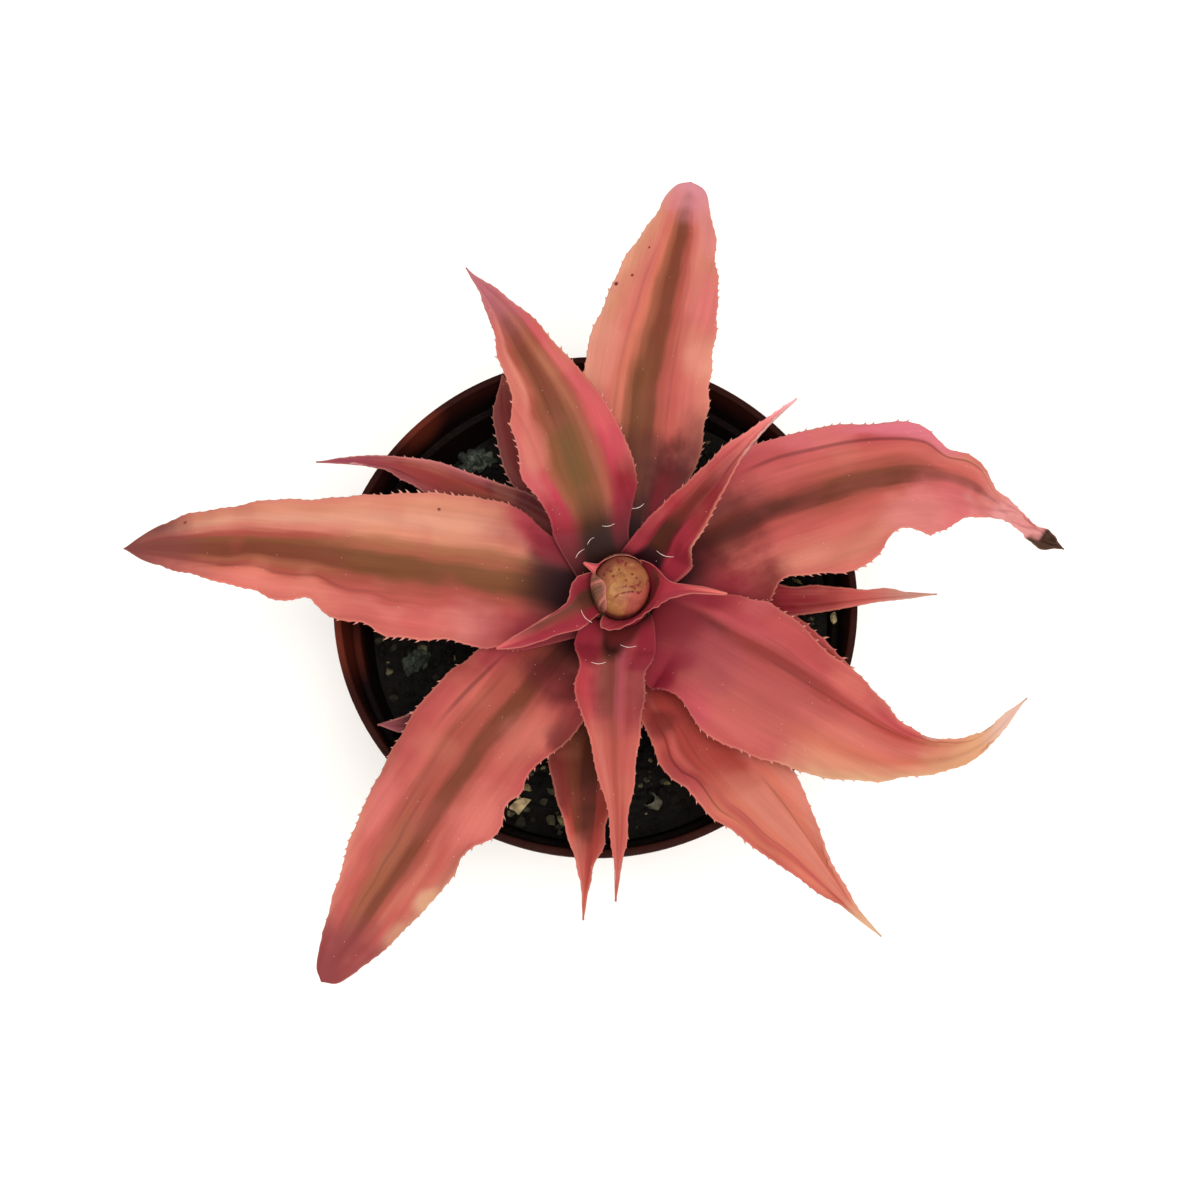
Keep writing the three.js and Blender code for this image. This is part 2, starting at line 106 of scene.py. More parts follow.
def addAreaLight(name, place, aim, size, power, colour):
    light = bpy.data.lights.new(name, "AREA")
    light.shape = "DISK"
    light.size = size
    light.energy = power
    light.color = ink(colour)[:3]
    lamp = bpy.data.objects.new(name, light)
    lamp.location = place
    lamp.rotation_euler = (Vector(aim) - Vector(place)).to_track_quat("-Z", "Y").to_euler()
    scene.collection.objects.link(lamp)


def lightStudio():
    world = bpy.data.worlds.new("softSky")
    world.use_nodes = True
    sky = world.node_tree.nodes["Background"]
    sky.inputs["Color"].default_value = ink(studio["skyColour"])
    sky.inputs["Strength"].default_value = studio["skyStrength"]
    scene.world = world
    plant = Vector((0, 0, 0.095))
    keyPlace = plant + Vector(studio["keyFrom"]).normalized() * studio["keyDistance"]
    addAreaLight("keyLight", keyPlace, plant, studio["keySize"], studio["keyPower"], studio["keyColour"])
    topPlace = plant + Vector(studio["topPlace"])
    addAreaLight("topLight", topPlace, plant, studio["topSize"], studio["topPower"], (255, 255, 255))


# Shader tools. Every node goes into the tree that was opened last.

bench = {"tree": None}


class Wire:  # what comes out of a node, so that plain arithmetic makes the nodes for it
    def __init__(self, socket):
        self.socket = socket

    def __add__(self, other):
        return calc("ADD", self, other)

    def __radd__(self, other):
        return calc("ADD", other, self)

    def __sub__(self, other):
        return calc("SUBTRACT", self, other)

    def __rsub__(self, other):
        return calc("SUBTRACT", other, self)

    def __mul__(self, other):
        return calc("MULTIPLY", self, other)

    def __truediv__(self, other):
        return calc("DIVIDE", self, other)

    def __pow__(self, other):
        return calc("POWER", self, other)

    def __abs__(self):
        return calc("ABSOLUTE", self)


class Outlets:  # a node's outputs, asked for by name or by place
    def __init__(self, sockets):
        self.sockets = sockets

    def __getitem__(self, key):
        return Wire(self.sockets[key])


def connect(value, socket):
    if isinstance(value, Wire):
        bench["tree"].links.new(value.socket, socket)
    else:
        socket.default_value = value


def placeNode(kind, feed, settings):
    tree = bench["tree"]
    item = tree.nodes.new(kind)
    count = len(tree.nodes)
    item.location = (220 * (count % 8) - 1400, 900 - 260 * (count // 8))
    for key, value in settings.items():
        setattr(item, key, value)
    for key, value in feed.items():
        connect(value, item.inputs[key])
    return item


def addNode(kind, feed={}, **settings):
    return Outlets(placeNode(kind, feed, settings).outputs)


def calc(operation, *values):
    return addNode("ShaderNodeMath", dict(enumerate(values)), operation=operation)[0]


def vectorCalc(operation, *values):
    return addNode("ShaderNodeVectorMath", dict(enumerate(values)), operation=operation)


def scaleVector(vector, factors):
    return vectorCalc("MULTIPLY", vector, factors)[0]


def brighten(colour, amount):
    return addNode("ShaderNodeVectorMath", {0: colour, "Scale": amount}, operation="SCALE")[0]


def split(vector):
    return addNode("ShaderNodeSeparateXYZ", {"Vector": vector})


def objectPlace():
    return addNode("ShaderNodeTexCoord")["Object"]


def mapOf(name):
    return addNode("ShaderNodeUVMap", uv_map=name)["UV"]


def attributeOf(name):
    return addNode("ShaderNodeAttribute", attribute_name=name)["Fac"]


def fade(value, start, end, low=0.0, high=1.0):
    feed = {"Value": value, "From Min": start, "From Max": end, "To Min": low, "To Max": high}
    return addNode("ShaderNodeMapRange", feed, interpolation_type="SMOOTHSTEP")["Result"]


def blend(factor, first, second, mode="MIX"):
    feed = {0: factor, 6: first, 7: second}  # the factor and the two colours
    return addNode("ShaderNodeMix", feed, data_type="RGBA", blend_type=mode, clamp_factor=True)[2]


def noiseOf(vector, scale, detail=2.0, roughness=0.5, distortion=0.0, flat=True):
    feed = {"Vector": vector, "Scale": scale, "Detail": detail, "Roughness": roughness}
    feed["Distortion"] = distortion
    return addNode("ShaderNodeTexNoise", feed, noise_dimensions="2D" if flat else "3D")["Fac"]


def colourRamp(factor, stops, interpolation="EASE"):
    item = placeNode("ShaderNodeValToRGB", {"Fac": factor}, {})
    band = item.color_ramp
    band.interpolation = interpolation
    band.elements.remove(band.elements[-1])
    for number, (position, colour) in enumerate(stops.items()):
        stop = band.elements.new(position) if number else band.elements[0]
        stop.position = position
        stop.color = ink(colour)
    return Outlets(item.outputs)["Color"]


def newGroup(name, inputs, outputs):  # sockets as lists of labels by kind
    tree = bpy.data.node_groups.new(name, "ShaderNodeTree")
    bench["tree"] = tree
    for direction, sockets in (("INPUT", inputs), ("OUTPUT", outputs)):
        for kind, labels in sockets.items():
            for label in labels:
                tree.interface.new_socket(name=label, in_out=direction, socket_type="NodeSocket" + kind)
    given = tree.nodes.new("NodeGroupInput")
    given.location = (-1700, 600)
    result = tree.nodes.new("NodeGroupOutput")
    result.location = (700, 600)
    return Outlets(given.outputs), result.inputs


def useGroup(name, feed):
    return addNode("ShaderNodeGroup", feed, node_tree=bpy.data.node_groups[name])


def newMaterial(name, specular=0.5, roughness=0.5):
    material = bpy.data.materials.new(name)
    material.use_nodes = True
    bench["tree"] = material.node_tree
    surface = material.node_tree.nodes["Principled BSDF"].inputs
    surface["Specular IOR Level"].default_value = specular
    surface["Roughness"].default_value = roughness
    return material, surface


def dress(surface, colour, roughness, height, strength, depth):  # depth of the bumps in mm
    connect(colour, surface["Base Color"])
    connect(roughness, surface["Roughness"])
    feed = {"Height": height, "Strength": strength, "Distance": depth * mm}
    connect(addNode("ShaderNodeBump", feed)["Normal"], surface["Normal"])


# Shared effects, each a group of nodes

def makeScurfSpecks():  # tiny pale scales, about a cell of 1 mm each, only in some cells
    inputs = {"Vector": ["Vector"], "Float": ["Scale", "Size", "Rarity"]}
    given, result = newGroup("scurfSpecks", inputs, {"Float": ["Mask"]})
    feed = {"Vector": given["Vector"], "Scale": given["Scale"]}
    cells = addNode("ShaderNodeTexVoronoi", feed, voronoi_dimensions="2D")
    pick = addNode("ShaderNodeSeparateColor", {"Color": cells["Color"]})[0]
    dot = calc("LESS_THAN", cells["Distance"], given["Size"])
    connect(dot * calc("GREATER_THAN", pick, given["Rarity"]), result["Mask"])


def makeFoldLine():  # a thin crease that runs along a leaf, at one place across it; its mask darkens the colour as painted shade and sinks the bump
    inputs = {"Float": ["Place", "Start", "End", "Width", "Strength"]}
    given, result = newGroup("foldLine", inputs, {"Float": ["Mask"]})
    leafMap = mapOf("leafMap")
    parts = split(leafMap)
    wander = noiseOf(scaleVector(leafMap, (0.4, 5.0, 1.0)), 1.0, 1.0)
    place = given["Place"] + (wander - 0.5) * 0.05
    line = fade(abs(parts["X"] - place) / given["Width"], 0.2, 1.0, 1.0, 0.0)
    entered = fade(parts["Y"] - given["Start"], 0.0, 0.08)
    leaving = fade(given["End"] - parts["Y"], 0.0, 0.12)
    connect(line * (entered * leaving) * given["Strength"], result["Mask"])


def makeBandPlace():  # place across a blade, with the soft uneven edges that the colour bands have
    given, result = newGroup("bandPlace", {"Float": ["Feather"]}, {"Float": ["Across"]})
    across = split(mapOf("leafMap"))["X"]
    flatMap = mapOf("flatMap")
    slow = noiseOf(scaleVector(flatMap, (0.8, 0.7, 1.0)), 1.0, 1.0) - 0.5
    quick = noiseOf(scaleVector(flatMap, (9.0, 0.9, 1.0)), 1.0, 3.0, 0.6) - 0.5
    connect(across + (slow * 0.07 + quick * given["Feather"]), result["Across"])


def makeSoftPatch():  # an uneven oval patch, placed by shares across and along a leaf: a leaf's own blotch, or a painted shadow
    inputs = {"Float": ["Across", "Along", "Width", "Length", "Strength"]}
    given, result = newGroup("softPatch", inputs, {"Float": ["Mask"]})
    parts = split(mapOf("leafMap"))
    across = (parts["X"] - given["Across"]) / given["Width"]
    along = (parts["Y"] - given["Along"]) / given["Length"]
    away = calc("SQRT", across ** 2.0 + along ** 2.0)
    wander = noiseOf(scaleVector(mapOf("flatMap"), (1.6, 1.1, 1.0)), 1.6, 3.0, 0.55)
    away = away + (wander - 0.5) * 0.5
    connect(fade(away, 0.3, 1.0, 1.0, 0.0) * given["Strength"], result["Mask"])


def makeLeafTissue():  # colours of a blade from root to tip, with fibres, blotches and scurf
    inputs = {
        "Color": ["Inner", "Outer", "Far", "Tip", "Base"],
        "Float": [
            "Turn Start", "Turn End", "Far Start", "Far End", "Tip Start", "Tip End", "Base End", "Flush And Shade End",
            "Blotch", "Folds", "Edge",
        ],
    }
    outputs = {"Color": ["Color"], "Float": ["Roughness", "Height"]}
    given, result = newGroup("leafTissue", inputs, outputs)
    parts = split(mapOf("leafMap"))
    flatMap = mapOf("flatMap")
    drift = (noiseOf(flatMap, 1.3, 2.0) - 0.5) * 0.14
    along = parts["Y"] + drift
    body = blend(fade(along, given["Turn Start"], given["Turn End"]), given["Inner"], given["Outer"])

    patches = noiseOf(scaleVector(flatMap, (0.8, 1.0, 1.0)), 0.95, 2.0, 0.45)
    offBand = fade(abs(parts["X"] - 0.48), 0.08, 0.2)
    paler = fade(patches, 0.54, 0.74) * (given["Blotch"] * offBand)
    deeper = fade(patches, 0.26, 0.46, 1.0, 0.0) * given["Blotch"]
    body = blend(paler * 0.5, body, blend(0.6, body, ink("peachCream")))
    body = blend(deeper * 0.6, body, blend(0.45, body, ink("rose")))

    fibres = noiseOf(scaleVector(flatMap, (16.0, 0.7, 1.0)), 1.0, 4.0, 0.6)
    ribs = noiseOf(scaleVector(flatMap, (4.0, 0.35, 1.0)), 1.0, 2.0, 0.5)
    grain = noiseOf(flatMap, 34.0, 2.0, 0.6)
    body = brighten(body, 0.63 + (fibres * 0.17 + ribs * 0.2 + grain * 0.09))
    body = blend(1.0, body, (0.8, 0.735, 0.72, 1.0), "MULTIPLY")
    # Painted shade in the fold creases.
    body = blend(given["Folds"] * 0.75, body, brighten(body, 0.42))

    body = blend(fade(along, given["Far Start"], given["Far End"]), body, given["Far"])
    body = blend(fade(along, given["Tip Start"], given["Tip End"]), body, given["Tip"])
    middle = fade(abs(parts["X"] - 0.48), 0.08, 0.34, 1.0, 0.0)
    reach = parts["Y"] - middle * 0.06
    # Crimson flush near the root, darkened so that it also paints the shade there.
    flushAndShade = fade(along, 0.08, given["Flush And Shade End"], 0.75, 0.0)
    body = blend(flushAndShade * fade(middle, 0.0, 0.8, 1.0, 0.0), body, ink((132, 34, 50)))
    # Painted shade at the heart: near the root the colour turns to Base, the leaf's own dark plum deepened
    # into shade.
    body = blend(fade(reach, 0.02, given["Base End"], 1.0, 0.0), body, given["Base"])

    rim = fade(attributeOf("edgeGap"), 0.02, 0.3, 1.0, 0.0) * given["Edge"]
    rim = rim * fade(along, 0.08, 0.3, 0.3, 1.0)
    body = blend(rim, body, blend(0.5, body, ink("cream")))
    # Pale teeth, brightest at their tips: their own pale colour with a painted glint on the tips.
    body = blend(attributeOf("tooth") * 0.55, body, ink((232, 178, 162)))
    dots = useGroup("scurfSpecks", {"Vector": flatMap, "Scale": 9.0, "Size": 0.06, "Rarity": 0.98})["Mask"]
    body = blend(dots * 0.5, body, ink((236, 206, 190)))

    height = fibres * 0.7 + grain * 0.3 + dots * 0.6 - given["Folds"] * 1.2
    connect(body, result["Color"])
    connect(0.44 + grain * 0.12 + ribs * 0.1, result["Roughness"])
    connect(height, result["Height"])


def makeLeafBackMaterial():  # undersides: dull pink under silvery scales in long lines
    material, surface = newMaterial("leafUnderside")
    flatMap = mapOf("flatMap")
    across = split(mapOf("leafMap"))["X"]
    body = colourRamp(across, {0.3: "backPink", 0.5: "backBrown", 0.7: "backPink"})
    lines = noiseOf(scaleVector(flatMap, (11.0, 0.5, 1.0)), 1.0, 3.0, 0.6)
    scales = noiseOf(flatMap, 26.0, 2.0, 0.7)
    cover = fade(lines, 0.42, 0.6) * fade(scales, 0.3, 0.6, 0.4, 1.0)
    body = blend(cover * 0.7, body, ink("silver"))
    dress(surface, body, 0.5 + cover * 0.2, lines + scales * 0.5, 0.35, 0.15)
    return material


def makeYoungBackMaterial(name, stops):
    material, surface = newMaterial(name, specular=0.15)
    lines = noiseOf(scaleVector(mapOf("flatMap"), (9.0, 0.6, 1.0)), 1.0, 3.0, 0.6)
    rim = fade(attributeOf("edgeGap"), 0.1, 0.9, 0.6, 0.0)
    body = blend(rim, colourRamp(lines, stops), ink([*stops.values()][-1]))
    dress(surface, body, 0.45 + lines * 0.2, lines, 0.3, 0.12)
    return material


# Mesh tools

def smoothStep(value, start, end):
    t = np.clip((value - start) / (end - start), 0, 1)
    return t * t * (3 - 2 * t)


def curveAt(rows, at):  # smooth curve through rows of [position, values...]
    rows = np.array(rows, float)
    place, value = rows[:, 0], rows[:, 1:]
    index = np.arange(len(place))
    low, high = np.maximum(index - 1, 0), np.minimum(index + 1, len(place) - 1)
    slope = (value[high] - value[low]) / (place[high] - place[low])[:, None]
    i = np.clip(np.searchsorted(place, at, side="right") - 1, 0, len(place) - 2)
    step = (place[i + 1] - place[i])[:, None]
    t = ((at - place[i]) / step[:, 0])[:, None]
    start = (2 * t**3 - 3 * t**2 + 1) * value[i] + (t**3 - 2 * t**2 + t) * step * slope[i]
    return start + (3 * t**2 - 2 * t**3) * value[i + 1] + (t**3 - t**2) * step * slope[i + 1]


def swell(along, across, pitch, seed):  # gentle unevenness, about -1 to 1
    dice = np.random.default_rng(seed)
    total = np.zeros(np.broadcast(along, across).shape)
    for _ in range(7):
        turn, phase = dice.uniform(0, 2 * math.pi, 2)
        length = pitch * dice.uniform(0.6, 1.7)
        total += np.sin((along * math.cos(turn) + across * math.sin(turn)) * 2 * math.pi / length + phase)
    return total / 2.6  # about the square root of seven waves


def unit(vectors):  # the same directions, 1 long
    return vectors / np.maximum(np.linalg.norm(vectors, axis=-1, keepdims=True), 1e-9)


def spinOf(turn):  # turns rows of points about the upright axis
    return np.array([[math.cos(turn), math.sin(turn), 0], [-math.sin(turn), math.cos(turn), 0], [0, 0, 1]])


def gridNormals(points):
    return unit(np.cross(np.gradient(points, axis=1), np.gradient(points, axis=0)))


def ringTurns(count):  # even turns round a circle
    return np.linspace(0, 2 * math.pi, count, endpoint=False)


def tubeFaces(rows, columns, start=0, capped=True):  # rings of points joined up, with flat ends
    faces = []
    for low in range(start, start + (rows - 1) * columns, columns):
        high = low + columns
        for j in range(columns):
            k = (j + 1) % columns
            faces.append([low + j, low + k, high + k, high + j])
    if capped:
        last = start + (rows - 1) * columns
        faces.append(list(range(start, start + columns))[::-1])
        faces.append(list(range(last, last + columns)))
    return faces


def slabFaces(rows, columns):  # closed slab: top grid, under grid, then a middle row at each side
    top = np.arange(rows * columns).reshape(rows, columns)
    under = top + rows * columns
    left = 2 * rows * columns + np.arange(rows)
    right = left + rows
    groups = [
        (0, top[:-1, :-1], top[:-1, 1:], top[1:, 1:], top[1:, :-1]),
        (1, under[:-1, :-1], under[1:, :-1], under[1:, 1:], under[:-1, 1:]),
        (0, top[:-1, 0], top[1:, 0], left[1:], left[:-1]),
        (0, left[:-1], left[1:], under[1:, 0], under[:-1, 0]),
        (0, top[1:, -1], top[:-1, -1], right[:-1], right[1:]),
        (0, right[1:], right[:-1], under[:-1, -1], under[1:, -1]),
        (0, top[0, :-1], under[0, :-1], under[0, 1:], top[0, 1:]),
        (0, top[-1, 1:], under[-1, 1:], under[-1, :-1], top[-1, :-1]),
    ]
    faces, kinds = [], []
    for kind, *corners in groups:
        quads = np.stack([np.ravel(c) for c in corners], 1).tolist()
        faces += quads
        kinds += [kind] * len(quads)
    faces += [
        [top[0, 0], left[0], under[0, 0]], [top[0, -1], under[0, -1], right[0]],
        [under[-1, 0], left[-1], top[-1, 0]], [right[-1], under[-1, -1], top[-1, -1]],
    ]
    return faces, kinds + [0] * 4


def slabPoints(points, thickness):  # same order as slabFaces
    normal = gridNormals(points)
    half = thickness[..., None] / 2
    top, under = points + normal * half, points - normal * half
    sides = []
    for edge, inner in ((0, 1), (-1, -2)):
        sides.append(points[:, edge] + unit(points[:, edge] - points[:, inner]) * half[:, edge])
    return np.concatenate([top.reshape(-1, 3), under.reshape(-1, 3), *sides]), normal


def slabValues(grid):  # a value of the grid, spread over the slab's points
    flat = grid.reshape(len(grid) * grid.shape[1], -1)
    return np.concatenate([flat, flat, grid[:, 0].reshape(len(grid), -1), grid[:, -1].reshape(len(grid), -1)])


def makePiece(name, points, faces, materials, kinds=None, maps={}, values={}, replaces=()):
    mesh = bpy.data.meshes.new(name)
    mesh.from_pydata((np.asarray(points) * mm).tolist(), [], faces)
    for material in materials:
        mesh.materials.append(material)
    if kinds is not None:
        mesh.polygons.foreach_set("material_index", np.array(kinds, dtype=np.int32))
    mesh.polygons.foreach_set("use_smooth", np.full(len(mesh.polygons), True))
    corner = np.empty(len(mesh.loops), dtype=np.int32)
    mesh.loops.foreach_get("vertex_index", corner)
    for label, flat in maps.items():
        layer = mesh.uv_layers.new(name=label)
        layer.data.foreach_set("uv", np.asarray(flat, dtype=np.float32)[corner].ravel())
    for label, row in values.items():
        layer = mesh.attributes.new(label, "FLOAT", "POINT")
        layer.data.foreach_set("value", np.asarray(row, dtype=np.float32).ravel())
    mesh.update()
    piece = bpy.data.objects.new(name, mesh)
    scene.collection.objects.link(piece)
    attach(piece, "root")
    if replaces:
        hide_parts(*replaces)
    return piece


# Teeth: small hooked cones along a margin

tooth = {  # shares of a tooth's size, but sunk is in mm
    "long": 0.95, "sunk": 0.22, "hook": 0.75, "heel": 0.1, "tipLean": 0.72,
    "halfWidth": 0.42, "halfThick": 0.16, "widest": 1.1,
    "rings": ((0.0, 1.0), (0.4, 0.72), (0.75, 0.36)),  # place along a tooth, width there
    "points": 13,  # four for each ring, and the tip
}


def growTeeth(base, outward, forward, normal, size, mirrored):
    points, paleAndGlint = [], []
    size = size[:, None]
    for t, width in tooth["rings"]:
        out = size * (tooth["long"] * t) - tooth["sunk"]
        centre = base + outward * out + forward * size * (tooth["hook"] * t * t - tooth["heel"])
        for sign in (1, -1):
            for direction, reach in ((forward, tooth["halfWidth"]), (normal, tooth["halfThick"])):
                points.append(centre + direction * (sign * reach) * width * np.minimum(size, tooth["widest"]))
                # paleAndGlint grows towards the tip: pale teeth with a painted glint at their tips
                paleAndGlint.append(np.full(len(base), 0.15 + t))
    points.append(base + outward * (size * tooth["long"] - tooth["sunk"]) + forward * size * tooth["tipLean"])
    paleAndGlint.append(np.full(len(base), 1.0))
    points = np.stack(points, 1).reshape(-1, 3)
    paleAndGlint = np.stack(paleAndGlint, 1).ravel()
    shape = [[0, 1, 2, 3]]
    for ring in (0, 4):
        shape += [[ring + (k + 1) % 4, ring + k, ring + 4 + k, ring + 4 + (k + 1) % 4] for k in range(4)]
    shape += [[8 + (k + 1) % 4, 8 + k, 12] for k in range(4)]
    if mirrored:
        shape = [face[::-1] for face in shape]
    starts = range(0, len(points), tooth["points"])
    faces = [[start + corner for corner in face] for start in starts for face in shape]
    return points, faces, np.minimum(paleAndGlint, 1.0)


def toothPlaces(length, spacing, start, end, dice):  # mm along the margin, closer together near the root
    places = [start]
    while places[-1] < end:
        near = smoothStep(places[-1] / length, 0.1, 0.45)
        places.append(places[-1] + spacing * (0.65 + 0.35 * near) * dice.uniform(0.75, 1.35))
    return np.array(places[:-1])


# The stem's shape, which the leaves need too

stem = {
    "x": 5.0, "y": -2.0, "top": 101.0, "topRadius": 6.2, "shoulder": 76.0, "shoulderRadius": 6.4,
    "bottom": 62.0, "footRadius": 3.4, "leafRoot": 7.2, "rows": 120, "columns": 72,
}

# The leaves
# spine: [out, aside, up] from the stem's axis. left, right: half-widths by percent of length.
# inner, outer: colours from the left margin to the right, near the root and farther out.
# folds: creases darkened as painted shade, [place across, start, end, strength], all as shares of 1.
# patches: [place across, place along, width, length, colour, strength], shares of 1 too. Pale and pink
# patches are the leaves' own colour; most dark ones are painted shadows of neighbouring leaves and painted
# shade near the heart.

blade = {  # what all grown leaves share
    "step": 0.42, "columns": 37, "narrowest": 0.12,
    "clasp": 12,  # percent of the length that is wrapped round the stem
    "hollow": 0.22, "wander": 0.28, "wanderPitch": 9, "channelWidth": 0.26, "shoulders": 0.22,
    "swells": 0.22, "swellPitch": 14, "ribs": 0.05, "ribPitch": 1.9,
}

leafHabit = {
    # base, baseEnd: colour near the root and how far it reaches, painted shade over the leaves' own dark plum
    "turnover": (0.42, 0.64), "tipFrom": (0.84, 1.02), "far": None, "farFrom": (0.95, 1.0), "base": "throat",
    "baseEnd": 0.15, "flushEnd": 0.3, "blotch": 0.5, "folds": [], "patches": [], "feather": 0.05,
    "edge": 0.25, "thickness": 1.0, "ruffle": 0.7, "rufflePitch": 13, "crumple": 0.0, "channel": 0.45,
    "shift": (0, 0), "toothSpacing": 1.8, "toothSize": 0.74, "toothFrom": 0.12, "toothTo": 0.94,
    "toothFade": (0.55, 1.0, 0.45),  # from, to, by how much
}

